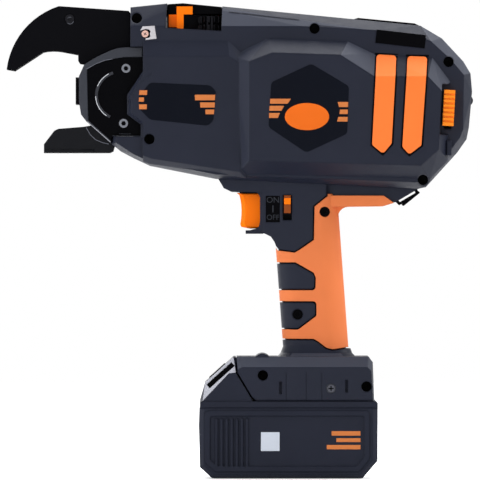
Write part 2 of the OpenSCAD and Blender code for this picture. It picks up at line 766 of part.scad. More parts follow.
// room round the feed bracket, its motor and the driven roller
module feed_room(grow, low) {
  intersection() {
    union() {
      block([column_x - 8.5 - grow, 0, low],
        [bracket_end + grow, bracket_right + grow, shelf_z + shelf_t + grow]);
      rod_z(pinion_x, pinion_y, feed_motor_r + grow, low, shelf_z + shelf_t + feed_motor_h + grow);
      rod_z(feed_x, roller_y, roller_tip + grow, low, roller_z + roller_face + grow);
    }
    block([bf, 0, low], [br, rear_w, top_z]);
  }
}
module pod(foot, flat) {
  hull() {
    slab(pod_under, pod_under + 1)
      polygon(foot);
    slab(pod_under, rear_w)
      polygon(flat);
  }
}
module pod_tail() {
  pod(tail_foot, tail_flat);
}
module hard_patches(grow) {
  polygon(rounded(inset(patch_a, -grow), patch_round));
  polygon(rounded(inset(patch_b, -grow), patch_round));
  polygon(rounded(inset(neck_side, -grow), neck_round));
}
module handle_core() {
  handle(over_t, foot_low + 2, bu + 6);
  intersection() {
    union() {
      handle(0, foot_low + 2, bu - 4.2);
      neck_cone(-0.5, 2, neck_flare * 2, neck_flare * 0.9);
      neck_cone(2, 7.5, neck_flare * 0.9, 0);
    }
    slab(-grip_w - 9, grip_w + 9)
      hard_patches(0);
  }
}
// a tapering stretch of the neck between two heights over the foot, grown by a given amount at each end
module neck_cone(low, high, grow_low, grow_high) {
  depth = grip_depth + grow_low;
  width = 2 * grip_w + grow_low;
  translate([neck_x, 0, foot_top + low])
    linear_extrude(
      high - low + eps, slices = 1,
      scale = [(grip_depth + grow_high) / depth, (2 * grip_w + grow_high) / width]
    )
      round_rect(depth, width, grip_round);
}
module foot_outer() {
  hull() {
    slab(0, foot_w - 6)
      polygon(foot_side);
    slab(0, foot_w)
      polygon(foot_face);
  }
  rod_y(screw_list[7][0] - 0.4, foot_top - 3.9, 5.8, 0, foot_w - 5.5);
}

// what is hollow inside a half, before its ribs
module half_hollow() {
  slab(-eps, core_w - bevel_w - 1)
    polygon(inset(body_side, wall + 0.4));
  slab(-eps, core_w - wall)
    polygon(inset(body_face, wall));
  slab(-eps, front_w - wall)
    polygon(inset(front_flat, 1.2));
  slab(-eps, rear_w - wall) {
    polygon(inset(hood_flat, 1.2));
    polygon(inset(tail_flat, 1.2));
  }
  intersection() {
    handle(over_t + wall, foot_top - 8, bu - 40);
    block([-90, -eps, 0], [90, 40, 300]);
  }
  block([-20, -eps, foot_low + rail_h + 3.5], [46, foot_w - 8, foot_top - 5]);
}
module cradle(x, t, r) {
  difference() {
    block([x, eps, bu], [x + t, core_w - 2, axis_h + pad_h - 1]);
    rod_x(x - 1, x + t + 1, r + run_gap);
  }
}
module half_ribs(far) {
  cradle(face_x + 8, 3, motor_r);
  cradle(face_x + motor_len - 8, 3, motor_r);
  cradle(ring_front, 3, case_r);
  block([bf + 1.5, -1, bu + 14], [bf + 4, core_w, axis_h - 27]);
  for (k = boss_list)
    rod_y(screw_list[k][0], screw_list[k][1], boss_r, 0, core_w);
  block([tube_rib, -1, wire_z - 5], [tube_rib + 5, 6, ridge_z(tube_rib + 5) - 1]);
  if (far) {
    rod_y(reel_x, reel_z, drum_r + drum_wall, drum_floor - 2.5, drum_w);
    block([pinion_x + 8, 16, base_z - 4], [pinion_x + 12, rear_w, base_z]);
  } else {
    rod_y(reel_x, reel_z, reel_pin_r + 3, 1, rear_w);
    for (x = [-8, 34], z = [axis_h - 34, axis_h + 6])
      rod_y(x, z, 3, board_y + board_t, rear_w);
  }
}
module half_cuts(far) {
  // nose seat, jaw notch and jaw tail
  slab(-1, nose_w + fit_gap)
    polygon(inset(nose_side, -fit_gap));
  slab(nose_w, core_w + 9)
    polygon([
      [bf - 40, axis_h + 28.5], [nose_back + fit_gap, axis_h + 28.5], [nose_back + fit_gap, axis_h + 13],
      [bf - 2, axis_h - 1.5 + eps], [bf - 2, axis_h - 14], [bf + 6.5, axis_h - 20.2],
      [bf + 6.5, axis_h - 27.7], [bf - 40, axis_h - 27.7]
    ]);
  slab(-1, lower_w + notch_gap)
    polygon([[bf - 20, bu + 10], [bf + 1.5, bu + 10], [bf + 1.5, axis_h - 20], [bf - 20, axis_h - 20]]);
  block([bf - 40, -1, axis_h + 28.5], [bf, core_w + 9, top_z + 9]);
  slab(-1, guide_w + fit_gap)
    polygon([[bf - 1, axis_h + 29], [guide_end + 0.5, axis_h + 29], [guide_end + 0.5, top_z - 6.5],
      [bf - 1, top_z - 6.5]]);
  // trigger, its stem, spring and switch
  slab(-1, trigger_w + fit_gap)
    polygon([[block_front - 1, bu - 2], [block_front - 1, bu - 25.6],
      [pocket_end, bu - 25.6], [pocket_end, bu - 2]]);
  block([block_front, -1, trigger_mid - stem_h - fit_gap],
    [stop_x, stem_w + fit_gap, trigger_mid + stem_h + fit_gap]);
  block([stop_x + 3 - eps, -1, trigger_mid - 9], [stop_x + 14, 7, trigger_mid + 9]);
  block([stop_x - eps, -1, trigger_mid - 2], [stop_x + 3.1, 2, trigger_mid + 2]);
  // battery rail and terminal block
  block([-60, -1, cover_z], [rail_x + rail_len + 1, rail_w + 0.4, foot_low + rail_h]);
  block([-60, -1, foot_low + lip_t - 0.6],
    [rail_x + rail_len + 1, rail_w + rail_lip + 0.4, foot_low + rail_h]);
  block([rail_x + 34, -1, foot_low + rail_h - 1], [rail_x + rail_len - 6, 12 + eps, foot_low + rail_h + 4]);
  // slots and fine grooves in the foot's side
  for (x = foot_lines)
    block([x - 0.25, foot_w - 0.3, foot_low - 1], [x + 0.25, foot_w + 1, foot_top - 10]);
  for (p = foot_slots)
    block([p[0] - 0.8, foot_w - 2, p[1] - 3.8], [p[0] + 0.8, foot_w + 1, p[1] + 3.8]);
  // wire tube
  rod_x(tube_rib - 3, tube_end + 3, tube_r + run_gap, 0, wire_z);
  // screws
  for (s = screw_list) {
    rod_y(s[0], s[1], screw_r + run_gap, -1, far ? screw_half + 0.5 : s[2] + 1);
    if (!far)
      rod_y(s[0], s[1], screw_head_r + head_gap, s[2], rear_w + 9);
  }
  if (far) {
    feed_room(fit_gap, base_z);
    rod_y(reel_x, reel_z, drum_r, drum_floor, drum_w + 1);
    rod_y(reel_x, reel_z, reel_pin_r + 1, 0, drum_floor + 1);
    block([reel_x - drum_r - 6, reel_in + 6, reel_z + 10], [reel_x - 20, reel_out - 6, reel_z + 20]);
    // opening over the feed rollers
    slab(-1, 14.4)
      polygon([[win_front - 0.3, wire_z + 6], [win_front - 0.3, top_z + 5], [win_rear + 0.3, top_z + 5],
        [win_rear + 0.3, wire_z + 6]]);
  } else {
    // opening over the release lever, and room for the lever and the idler's swing behind the wall
    slab(-1, rear_w)
      polygon([[win_front, top_z + 5], [win_front - 1.5, wire_z - 2.5], [win_rear - 0.5, wire_z - 4.5],
        [win_rear + 0.5, top_z + 5]]);
    block([win_front - 1.5, -1, wire_z - 6], [win_rear, core_w - wall, wire_z]);
    rod_y(reel_x, reel_z, reel_pin_r + run_gap, -1, rear_w - wall);
    at_latch() {
      block([-5, core_w, -latch_len / 2 - latch_travel - 0.6], [8, rear_w + 5, latch_len / 2 + 3.5]);
      block([-2.3, 0, -8 - latch_travel], [2.3, core_w + 1, 8.3]);
    }
    // power slide's window, its switch, and the marked plate's recess
    block([slide_x - slide_wide / 2 - fit_gap, block_w - slide_deep - 0.4,
      slide_top - slide_tall - slide_travel - fit_gap],
      [slide_x + slide_wide / 2 + fit_gap, block_w + 1, slide_top + fit_gap]);
    block([slide_x - 3.6, 8.4, slide_top - slide_tall - slide_travel],
      [slide_x + 3.6, block_w - slide_deep - 0.3, slide_top]);
    block([-14, block_w - plate_recess, bu - 21], [-5.2, block_w + 1, bu - 4.4]);
    rod_y(foot_screw_at[0], foot_screw_at[1], foot_screw_r + 0.2, foot_w - 1.4, foot_w + 1);
    rod_y(foot_screw_at[0], foot_screw_at[1], foot_screw_r / 2 + run_gap, foot_w - 5.5, foot_w);
    // seats of the stripes
    difference() {
      slab(core_w + 0.1, rear_w + 1) {
        polygon(inset(stripe_a, -stripe_gap));
        polygon(inset(stripe_b, -stripe_gap));
      }
      translate([0, -stripe_sink, 0])
        pod_tail();
    }
    // plate seat on the rear pod's bevel
    translate([71, 0, rear_top - 6.5])
      rotate([0, 6.5, 0])
        block([-16, core_w - 0.6, -6.5], [15.5, core_w + 9, 2.4]);
  }
}
module at_latch() {
  translate([latch_x, 0, latch_z])
    rotate([0, latch_lean, 0])
      children();
}
module half_body(far) {
  difference() {
    half_outer(far);
    difference() {
      half_hollow();
      half_ribs(far);
    }
    half_cuts(far);
  }
}
module body_left() {
  color([0.16, 0.17, 0.21])
    mirror([0, 1, 0])
      half_body(false);
}
module body_right() {
  color([0.16, 0.17, 0.21])
    half_body(true);
}

module half_grip(far) {
  difference() {
    union() {
      difference() {
        handle(0, foot_low, bu - 4.2);
        handle(over_t, foot_low - 1, bu);
      }
      difference() {
        union() {
          slab(0, strip_w)
            polygon(strip_side);
          slab(0, fillet_w)
            polygon(fillet_side);
        }
        handle(over_t, foot_low, bu);
      }
    }
    block([-90, -grip_w - 1, 0], [90, 0, bu]);
    slab(-1, grip_w + 1) {
      hard_patches(grip_groove);
      polygon(inset(block_side, grip_groove));
    }
    slab(-1, keel_w)
      polygon(keel_side);
    rod_y(screw_list[5][0], screw_list[5][1], far ? screw_r : screw_head_r + head_gap, screw_half, 30);
  }
}
module grip_left() {
  color([0.92, 0.42, 0.12])
    mirror([0, 1, 0])
      half_grip(false);
}
module grip_right() {
  color([0.92, 0.42, 0.12])
    half_grip(true);
}

// stripes follow the pod tail's flat and bevel
module stripe_inserts() {
  color([0.98, 0.45, 0.15])
    mirror([0, 1, 0])
      for (s = [stripe_a, stripe_b])
        intersection() {
          difference() {
            translate([0, stripe_t, 0])
              pod_tail();
            translate([0, run_gap - stripe_sink, 0])
              pod_tail();
          }
          slab(core_w + 0.2, rear_w + 2)
            polygon(s);
        }
}

module housing_screws() {
  color([0.12, 0.12, 0.13])
    for (s = screw_list)
      difference() {
        union() {
          rod_y(s[0], s[1], screw_r, -s[2], screw_half);
          rod_y(s[0], s[1], screw_head_r, -s[2] - screw_head_h, -s[2]);
        }
        rod_y(s[0], s[1], screw_r * 0.7, -s[2] - screw_head_h - 1, -s[2] - screw_head_h + 1.8, $fn = 6);
      }
}

module nose_shell() {
  color([0.18, 0.19, 0.22])
    difference() {
      slab(-nose_w, nose_w)
        polygon(nose_side);
      slab(-nose_in + nose_wall, nose_in - nose_wall)
        polygon(inset(nose_side, nose_wall));
      block([nose_back - nose_wall - 1, -nose_in + nose_wall, axis_h - 24],
        [nose_back + 1, nose_in - nose_wall, axis_h + 25]);
      for (s = [-1, 1])
        slab(s > 0 ? nose_in : -nose_w - 1, s > 0 ? nose_w + 1 : -nose_in)
          polygon(inset(plate_side, -0.15));
      for (s = [-1, 1], p = plate_screws)
        rod_y(p[0], p[1], plate_screw_r / 2 + run_gap, s > 0 ? nose_in - 2 : -nose_in - 1,
          s > 0 ? nose_in + 1 : -nose_in + 2);
      block([nose_x - 1, -hook_slot_w, axis_h - 12], [nose_x + 5, hook_slot_w, axis_h + 13]);
      slab(-lower_w - notch_gap, lower_w + notch_gap)
        polygon([[nose_x - 4, axis_h - 15.5], [bf - 5, axis_h - 15.5], [bf - 5, axis_h - 44],
          [nose_x - 4, axis_h - 44]]);
      rod_y(pivot_x, pivot_z, pivot_r + run_gap, -nose_in + 0.7, nose_in - 0.7);
    }
}
module nose_plate() {
  difference() {
    union() {
      slab(nose_in, nose_in + plate_t)
        polygon(plate_side);
      slab(nose_in + plate_t - 0.1, nose_in + plate_t + 1)
        translate([bf - 6.5, axis_h - 2])
          intersection() {
            difference() {
              circle(arc_r + arc_w / 2);
              circle(arc_r - arc_w / 2);
            }
            polygon([[0, 0], polar(40, 107), polar(60, 140), polar(60, 176), polar(60, 212),
              polar(40, 245)]);
          }
    }
    for (p = plate_screws)
      rod_y(p[0], p[1], plate_screw_r / 2 + run_gap, nose_in - 1, nose_w + 2);
    for (p = plate_screws)
      rod_y(p[0], p[1], plate_screw_r + 0.2, nose_in + 1, nose_w + 2);
  }
}
module nose_plate_left() {
  color([0.05, 0.05, 0.06])
    mirror([0, 1, 0])
      nose_plate();
}
module nose_plate_right() {
  color([0.05, 0.05, 0.06])
    nose_plate();
}
module nose_screws() {
  color([0.6, 0.6, 0.62])
    for (s = [0, 1], p = plate_screws)
      mirror([0, s, 0])
        difference() {
          union() {
            rod_y(p[0], p[1], plate_screw_r, nose_in + 1, nose_in + plate_t + 0.4);
            rod_y(p[0], p[1], plate_screw_r / 2, nose_in - 1.8, nose_in + 1.1);
          }
          rod_y(p[0], p[1], plate_screw_r * 0.55, nose_in + plate_t - 0.7, nose_w + 2, $fn = 6);
        }
}
module contact_plate() {
  color([0.05, 0.05, 0.06])
    difference() {
      block([nose_x - contact_t, -contact_w, contact_low], [nose_x, contact_w, contact_top]);
      block([nose_x - contact_t - 1, -hook_slot_w, contact_low + 3],
        [nose_x + 1, hook_slot_w, contact_top - 3]);
    }
}

module jaw_holes() {
  rod_y(jaw_screw[0], jaw_screw[1], screw_r + run_gap, -jaw_w - 1, jaw_w + 1);
  rod_y(jaw_pin[0], jaw_pin[1], screw_r + run_gap, -jaw_w + jaw_head_t, jaw_w - jaw_head_t);
}
module jaw_plate() {
  difference() {
    slab(guide_w, jaw_w)
      polygon(jaw_side);
    jaw_holes();
    rod_y(jaw_screw[0], jaw_screw[1], screw_head_r, jaw_w - jaw_head_t, jaw_w + 1);
  }
}
module jaw_plate_left() {
  color([0.05, 0.05, 0.06])
    mirror([0, 1, 0])
      jaw_plate();
}
module jaw_plate_right() {
  color([0.05, 0.05, 0.06])
    jaw_plate();
}
module curl_guide() {
  color([0.1, 0.1, 0.11])
    difference() {
      slab(-guide_w, guide_w)
        polygon(guide_side);
      jaw_holes();
      rod_y(screw_list[0][0], screw_list[0][1], screw_r + 0.3, -jaw_w, jaw_w);
      for (s = [-1, 1])
        rod_y(screw_list[0][0], screw_list[0][1], boss_r + 0.3, s > 0 ? 0.3 : -jaw_w, s > 0 ? jaw_w : -0.3);
      rod_x(jaw_x + 30, guide_end + 1, wire_hole_r, 0, wire_z);
    }
}
module jaw_bolt() {
  color([0.5, 0.5, 0.52])
    difference() {
      union() {
        rod_y(jaw_screw[0], jaw_screw[1], screw_r, -jaw_w + jaw_head_t - eps, jaw_w - jaw_head_t + eps);
        for (s = [0, 1])
          mirror([0, s, 0])
            rod_y(jaw_screw[0], jaw_screw[1], screw_head_r - 0.2, jaw_w - jaw_head_t, jaw_w + 0.4);
      }
      for (s = [0, 1])
        mirror([0, s, 0])
          rod_y(jaw_screw[0], jaw_screw[1], screw_head_r * 0.5, jaw_w - 0.9, jaw_w + 1, $fn = 6);
    }
}
module jaw_dowel() {
  color([0.6, 0.6, 0.62])
    rod_y(jaw_pin[0], jaw_pin[1], screw_r, -jaw_w + jaw_head_t + 0.2, jaw_w - jaw_head_t - 0.2);
}

module lower_jaw() {
  color([0.06, 0.06, 0.07])
    difference() {
      union() {
        slab(-lower_w, lower_w)
          polygon(lower_side);
        block([lower_end, -lower_w - flange_out, lower_low],
          [pivot_x - 9, lower_w + flange_out, lower_low + flange_h]);
      }
      slab(-lower_w + lower_wall, lower_w - lower_wall)
        polygon(lower_trough);
      rod_y(pivot_x, pivot_z, pivot_r + run_gap, -lower_w - 1, lower_w + 1);
    }
}
module lower_jaw_pin() {
  color([0.6, 0.6, 0.62])
    rod_y(pivot_x, pivot_z, pivot_r, -nose_in + 0.9, nose_in - 0.9);
}
module lower_jaw_spring() {
  color([0.1, 0.1, 0.11])
    swept_tube(jaw_spring_path, jaw_spring_wire, 6);
}
module cutter_block() {
  color([0.55, 0.55, 0.58])
    difference() {
      block([guide_end, -guide_w + 1, wire_z - 5], [guide_end + 3, guide_w - 1, wire_z + 5]);
      rod_x(guide_end - 1, guide_end + 4, wire_hole_r, 0, wire_z);
    }
}

module twist_motor() {
  color([0.35, 0.36, 0.38])
    difference() {
      union() {
        rod_x(face_x, face_x + motor_len, motor_r);
        rod_x(face_x + motor_len - eps, face_x + motor_len + 3, 5);
      }
      rod_x(face_x - 1, face_x + 16, sun_shaft_r + run_gap);
    }
}
module sun_pinion() {
  color([0.62, 0.62, 0.65])
    union() {
      on_axis(gear_front)
        linear_extrude(gear_face)
          polygon(gear_outline(gear_module, sun_teeth, 0.8, 1.05, backlash));
      rod_x(gear_back - eps, face_x + 15, sun_shaft_r);
    }
}
module planet_gear(turn) {
  color([0.62, 0.62, 0.65])
    on_axis(gear_front)
      rotate([0, 0, turn])
        translate([planet_r, 0, 0])
          difference() {
            linear_extrude(gear_face)
              rotate([0, 0, 180 / planet_teeth])
                polygon(gear_outline(gear_module, planet_teeth, 0.8, 1.05, backlash));
            translate([0, 0, -1])
              cylinder(r = planet_pin_r + run_gap, h = gear_face + 2);
          }
}
module planet_gear_a() {
  planet_gear(90);
}
module planet_gear_b() {
  planet_gear(210);
}
module planet_gear_c() {
  planet_gear(330);
}
module ring_gear() {
  color([0.5, 0.5, 0.53])
    on_axis(ring_front)
      linear_extrude(ring_back - ring_front)
        difference() {
          circle(ring_out_r);
          rotate([0, 0, 180 / ring_teeth])
            polygon(gear_outline(gear_module, ring_teeth, 1.05, 0.55, -backlash));
        }
}
module gear_case() {
  color([0.7, 0.7, 0.72])
    difference() {
      union() {
        rod_x(case_front, face_x, case_r);
        rod_x(neck_front, case_front + eps, bearing_r + 3);
        block([ring_front + 4, -12, axis_h + case_r - 3], [face_x - 1, 12, base_z]);
      }
      rod_x(ring_front, face_x - 3, ring_out_r + run_gap);
      rod_x(carrier_front - 1, ring_front + eps, ring_root_r);
      rod_x(face_x - 4, face_x + 1, 4);
      rod_x(neck_front - 1, carrier_front, bearing_r + run_gap);
    }
}
module spindle() {
  color([0.6, 0.6, 0.63])
    union() {
      rod_x(carrier_front, carrier_back, planet_r + planet_pin_r + 1.6);
      for (a = [90, 210, 330])
        on_axis(carrier_back - eps)
          translate(concat(polar(planet_r, a), [0]))
            cylinder(r = planet_pin_r, h = gear_face + 0.6);
      rod_x(hook_back - hook_len, carrier_front + eps, spindle_r);
    }
}
module spindle_bearing() {
  color([0.75, 0.75, 0.77])
    difference() {
      rod_x(neck_front, carrier_front - 0.6, bearing_r);
      rod_x(neck_front - 1, carrier_front + 1, spindle_r + run_gap);
    }
}
module twist_hook() {
  color([0.45, 0.45, 0.48])
    difference() {
      union() {
        rod_x(hook_back - hook_len - 2, hook_back + hook_len, spindle_r + 2.4);
        for (s = [0, 1])
          mirror([0, s, 0])
            slab(2, 5.5)
              polygon([
                [hook_back - 7, axis_h - 5], [hook_front + 6, axis_h - 6], [hook_front, axis_h - 2],
                [hook_front + 5, axis_h - 1.5], [hook_front + 8, axis_h + 1],
                [hook_front + 12, axis_h + 5], [hook_back - 7, axis_h + 5]
              ]);
      }
      rod_x(hook_back - hook_len - run_gap, hook_back + hook_len + 1, spindle_r + run_gap);
    }
}

// feed unit: base, shelf and top joined by a column and two posts
module feed_bracket() {
  color([0.08, 0.08, 0.09])
    difference() {
      union() {
        block([column_x - 8.5, bracket_left, base_z], [bracket_end, bracket_right, base_z + base_t]);
        block([column_x - 8.5, bracket_left, shelf_z],
          [bracket_end, pinion_y + feed_motor_r, shelf_z + shelf_t]);
        block([column_x - 8.5, 6, base_z], [column_x, 14, wire_z + 7]);
        slab(-12, 14)
          polygon([
            [win_front + 0.1, wire_z + 6.5], [win_front + 0.1, top_z - 0.8], [crest_x, top_z - 0.2],
            [win_rear - 0.1, ridge_z(win_rear) - 0.2], [win_rear - 0.1, wire_z + 6.5]
          ]);
        rod_z(column_x - 4, -9, 3, base_z, shelf_z + 1);
        rod_z(pinion_x, -9, 3, base_z, shelf_z + 1);
      }
      rod_z(feed_x, roller_y, feed_pin_r + run_gap, base_z - 1, wire_z + 9);
      rod_z(arm_x, 0, feed_pin_r, shelf_z - 1, shelf_z + shelf_t + 1);
      rod_z(pinion_x, pinion_y, feed_pin_r + 0.4, base_z - 1, shelf_z + shelf_t + 1);
    }
}
module feed_motor() {
  color([0.35, 0.36, 0.38])
    difference() {
      rod_z(pinion_x, pinion_y, feed_motor_r, shelf_z + shelf_t, shelf_z + shelf_t + feed_motor_h);
      rod_z(pinion_x, pinion_y, feed_pin_r * 0.75 + run_gap, shelf_z, shelf_z + shelf_t + 8);
    }
}
module feed_pinion() {
  color([0.62, 0.62, 0.65])
    union() {
      translate([pinion_x, pinion_y, wheel_z])
        rotate([0, 0, pinion_turn + 180 + 180 / pinion_teeth])
          linear_extrude(wheel_face)
            polygon(gear_outline(gear_module, pinion_teeth, 0.8, 1.05, backlash));
      rod_z(pinion_x, pinion_y, feed_pin_r * 0.75, wheel_z + wheel_face - eps, shelf_z + shelf_t + 7.5);
    }
}
module feed_wheel() {
  color([0.62, 0.62, 0.65])
    translate([feed_x, roller_y, wheel_z])
      difference() {
        rotate([0, 0, pinion_turn])
          linear_extrude(wheel_face)
            polygon(gear_outline(gear_module, wheel_teeth, 0.8, 1.05, backlash));
        translate([0, 0, -1])
          cylinder(r = feed_pin_r + run_gap / 2, h = wheel_face + 2);
      }
}
module toothed_roller() {
  difference() {
    linear_extrude(roller_face)
      polygon(gear_outline(roller_module, roller_teeth, 0.8, 1.05, backlash));
    translate([0, 0, roller_face / 2])
      rotate_extrude()
        polygon([[roller_tip - 1.2, 0], [roller_tip + 1, 2.2], [roller_tip + 1, -2.2]]);
  }
}
module feed_roller() {
  color([0.2, 0.2, 0.22])
    union() {
      translate([feed_x, roller_y, roller_z])
        toothed_roller();
      rod_z(feed_x, roller_y, feed_pin_r, base_z + 0.4, roller_z + eps);
      rod_z(feed_x, roller_y, feed_pin_r, roller_z + roller_face - eps, wire_z + 8.5);
    }
}
module idler_roller() {
  color([0.2, 0.2, 0.22])
    translate([feed_x, -roller_y, roller_z])
      difference() {
        rotate([0, 0, 180 / roller_teeth])
          toothed_roller();
        translate([0, 0, -1])
          cylinder(r = feed_pin_r + run_gap, h = roller_face + 2);
      }
}
module feed_arm() {
  color([0.4, 0.4, 0.43])
    difference() {
      union() {
        translate([0, 0, arm_z])
          linear_extrude(arm_t) {
            translate([arm_x, 0])
              circle(5);
            translate([feed_x, -roller_y])
              circle(4.5);
            polygon([
              [arm_x - 1, 4.9], [feed_x + 2, -roller_y + 4], [feed_x - 2, -roller_y - 4],
              [arm_x - 3, lever_y + 8], [arm_x - 3.6, lever_y], [arm_x - 8, lever_y], [arm_x - 5, -1]
            ]);
          }
        rod_z(feed_x, -roller_y, feed_pin_r + 1.5, arm_z + arm_t - eps, roller_z - 0.4);
        rod_z(feed_x, -roller_y, feed_pin_r, arm_z + arm_t - eps, roller_z + roller_face - 0.5);
      }
      rod_z(arm_x, 0, feed_pin_r + run_gap, arm_z - 1, arm_z + arm_t + 1);
    }
}
module feed_arm_pin() {
  color([0.6, 0.6, 0.62])
    union() {
      rod_z(arm_x, 0, feed_pin_r, shelf_z, arm_z + arm_t + 0.3 + eps);
      rod_z(arm_x, 0, feed_pin_r + 1.5, arm_z + arm_t + 0.3, arm_z + arm_t + 1.5);
    }
}
module feed_lever() {
  color([0.95, 0.45, 0.05])
    union() {
      block([arm_x - 8, lever_y, arm_z + arm_t], [arm_x - 3.6, lever_y + 8, arm_z + arm_t + 4]);
      block([arm_x - 8, lever_y, arm_z + arm_t], [arm_x - 3.6, lever_y + 5, wire_z + 11]);
      block([arm_x - 8, lever_y, wire_z + 6], [arm_x + 2, lever_y + 5, wire_z + 11]);
      block([arm_x - 13, lever_y + 5, wire_z - 2], [arm_x - 3.6, lever_y + 8, wire_z + 6]);
      block([arm_x - 8, lever_y + 4, wire_z - 2], [arm_x - 3.6, lever_y + 8, wire_z + 6]);
    }
}
module wire_tube() {
  color([0.55, 0.55, 0.58])
    difference() {
      rod_x(feed_x + roller_tip + 1.5, tube_end, tube_r, 0, wire_z);
      rod_x(feed_x, tube_end + 1, wire_hole_r, 0, wire_z);
    }
}

module wire_reel() {
  color([0.12, 0.12, 0.13])
    difference() {
      union() {
        rod_y(reel_x, reel_z, reel_r, reel_in, reel_in + flange_t);
        rod_y(reel_x, reel_z, reel_r, reel_out - flange_t, reel_out);
        rod_y(reel_x, reel_z, reel_core_r, reel_in, reel_out);
        difference() {
          rod_y(reel_x, reel_z, reel_r - 3, reel_out - eps, reel_out + reel_rib);
          rod_y(reel_x, reel_z, reel_r - 5, reel_out - 1, reel_out + reel_rib + 1);
        }
        for (a = [0:60:300])
          translate([reel_x, 0, reel_z])
            rotate([0, a, 0])
              block([reel_core_r - 5, reel_out - eps, -1], [reel_r - 4, reel_out + reel_rib, 1]);
      }
      rod_y(reel_x, reel_z, reel_pin_r + run_gap, reel_in - 1, reel_out - 6);
      rod_y(reel_x, reel_z, reel_core_r - 4, reel_out - 4, reel_out + 1);
    }
}
module wire_winding() {
  color([0.5, 0.5, 0.52])
    difference() {
      rod_y(reel_x, reel_z, winding_r, reel_in + flange_t, reel_out - flange_t);
      rod_y(reel_x, reel_z, reel_core_r, reel_in, reel_out);
    }
}
module reel_pin() {
  color([0.6, 0.6, 0.62])
    rod_y(reel_x, reel_z, reel_pin_r, pin_back, reel_in + pin_grip);
}
module reel_latch() {
  color([0.95, 0.45, 0.1])
    mirror([0, 1, 0])
      at_latch()
        difference() {
          union() {
            block([-latch_wide / 2, core_w + fit_gap, -latch_len / 2],
              [latch_wide / 2, core_w + latch_deep, latch_len / 2]);
            block([-2, core_w - wall - 2.5, -8], [2, core_w + fit_gap + eps, 8]);
            block([-5, core_w - wall - 4.5, -8], [2, core_w - wall - fit_gap - 0.2, 8]);
          }
          for (k = [-3:3])
            block([-latch_wide, core_w + latch_deep - 1.2, k * latch_len / 8 - 0.6],
              [latch_wide, core_w + latch_deep + 1, k * latch_len / 8 + 0.6]);
        }
}
module control_board() {
  color([0.1, 0.35, 0.2])
    mirror([0, 1, 0])
      union() {
        block([-14, board_y, axis_h - 39], [40, board_y + board_t, axis_h + 11]);
        block([12, board_y - 4, axis_h - 30], [24, board_y + eps, axis_h - 18]);
        block([20, board_y - 5, axis_h - 8], [30, board_y + eps, axis_h + 2]);
      }
}
module control_panel() {
  color([0.06, 0.06, 0.07])
    slab(-15, 15)
      polygon([
        [41, ridge_z(41) + run_gap], [44, ridge_z(44) + panel_t], [br - 36, ridge_z(br - 36) + panel_t],
        [br - 33, ridge_z(br - 33) + run_gap]
      ]);
}

module trigger_flank() {
  mid = [trigger_rear, bu - 13.5];
  translate([mid[0], trigger_w - trigger_edge - eps, mid[1]])
    mirror([0, 1, 0])
      rotate([90, 0, 0])
        linear_extrude(trigger_edge, scale = [0.82, 0.92], slices = 1)
          translate(-mid)
            polygon(trigger_side);
}
module trigger() {
  color([0.95, 0.42, 0.02])
    difference() {
      union() {
        slab(-trigger_w + trigger_edge, trigger_w - trigger_edge)
          polygon(trigger_side);
        for (s = [0, 1])
          mirror([0, s, 0])
            trigger_flank();
        block([-19, -stem_w, trigger_mid - stem_h], [stem_end, stem_w, trigger_mid + stem_h]);
      }
      rod_x(stem_end - 8, stem_end + 1, spring_bore_r, 0, trigger_mid);
    }
}
module trigger_spring() {
  color([0.6, 0.6, 0.62])
    swept_tube([for (k = [0:8 * trigger_coil_turns]) [
      trigger_spring_x + 0.5 + trigger_coil_pitch * k / 8, trigger_coil_r * cos(45 * k),
      trigger_mid + trigger_coil_r * sin(45 * k)
    ]], trigger_wire, 6);
}
module trigger_switch() {
  color([0.1, 0.1, 0.11])
    block([stop_x + 3.2, -6.8, trigger_mid - 8.8], [stop_x + 13.8, 6.8, trigger_mid + 8.8]);
}
module power_slide() {
  color([0.95, 0.42, 0.02])
    mirror([0, 1, 0])
      difference() {
        block([slide_x - slide_wide / 2, block_w - slide_deep, slide_top - slide_tall],
          [slide_x + slide_wide / 2, block_w + 0.4, slide_top]);
        block([slide_x - 5, block_w - 1, slide_top - slide_tall / 2 - 0.6],
          [slide_x + 5, block_w + 1, slide_top - slide_tall / 2 + 0.6]);
      }
}
module power_switch() {
  color([0.1, 0.1, 0.11])
    mirror([0, 1, 0])
      block([slide_x - 3.4, 8.6, slide_top - slide_tall - slide_travel + 0.2],
        [slide_x + 3.4, block_w - slide_deep - 0.5, slide_top - 0.2]);
}
// a point s along the keel's rear slope and d below it
function under_keel(s, d) = keel_side[2] + keel_along * s + right_of(keel_along) * d;
module strap_eye() {
  color([0.06, 0.06, 0.07])
    slab(-4, 4)
      polygon([
        under_keel(0.4, 0), under_keel(1.2, 2.9), under_keel(eye_len - 0.8, 2.9),
        under_keel(eye_len, 1.9), under_keel(eye_len, 0), under_keel(eye_len - 1.8, 0),
        under_keel(eye_len - 2, 1.3), under_keel(2.6, 1.3), under_keel(2.4, 0)
      ]);
}

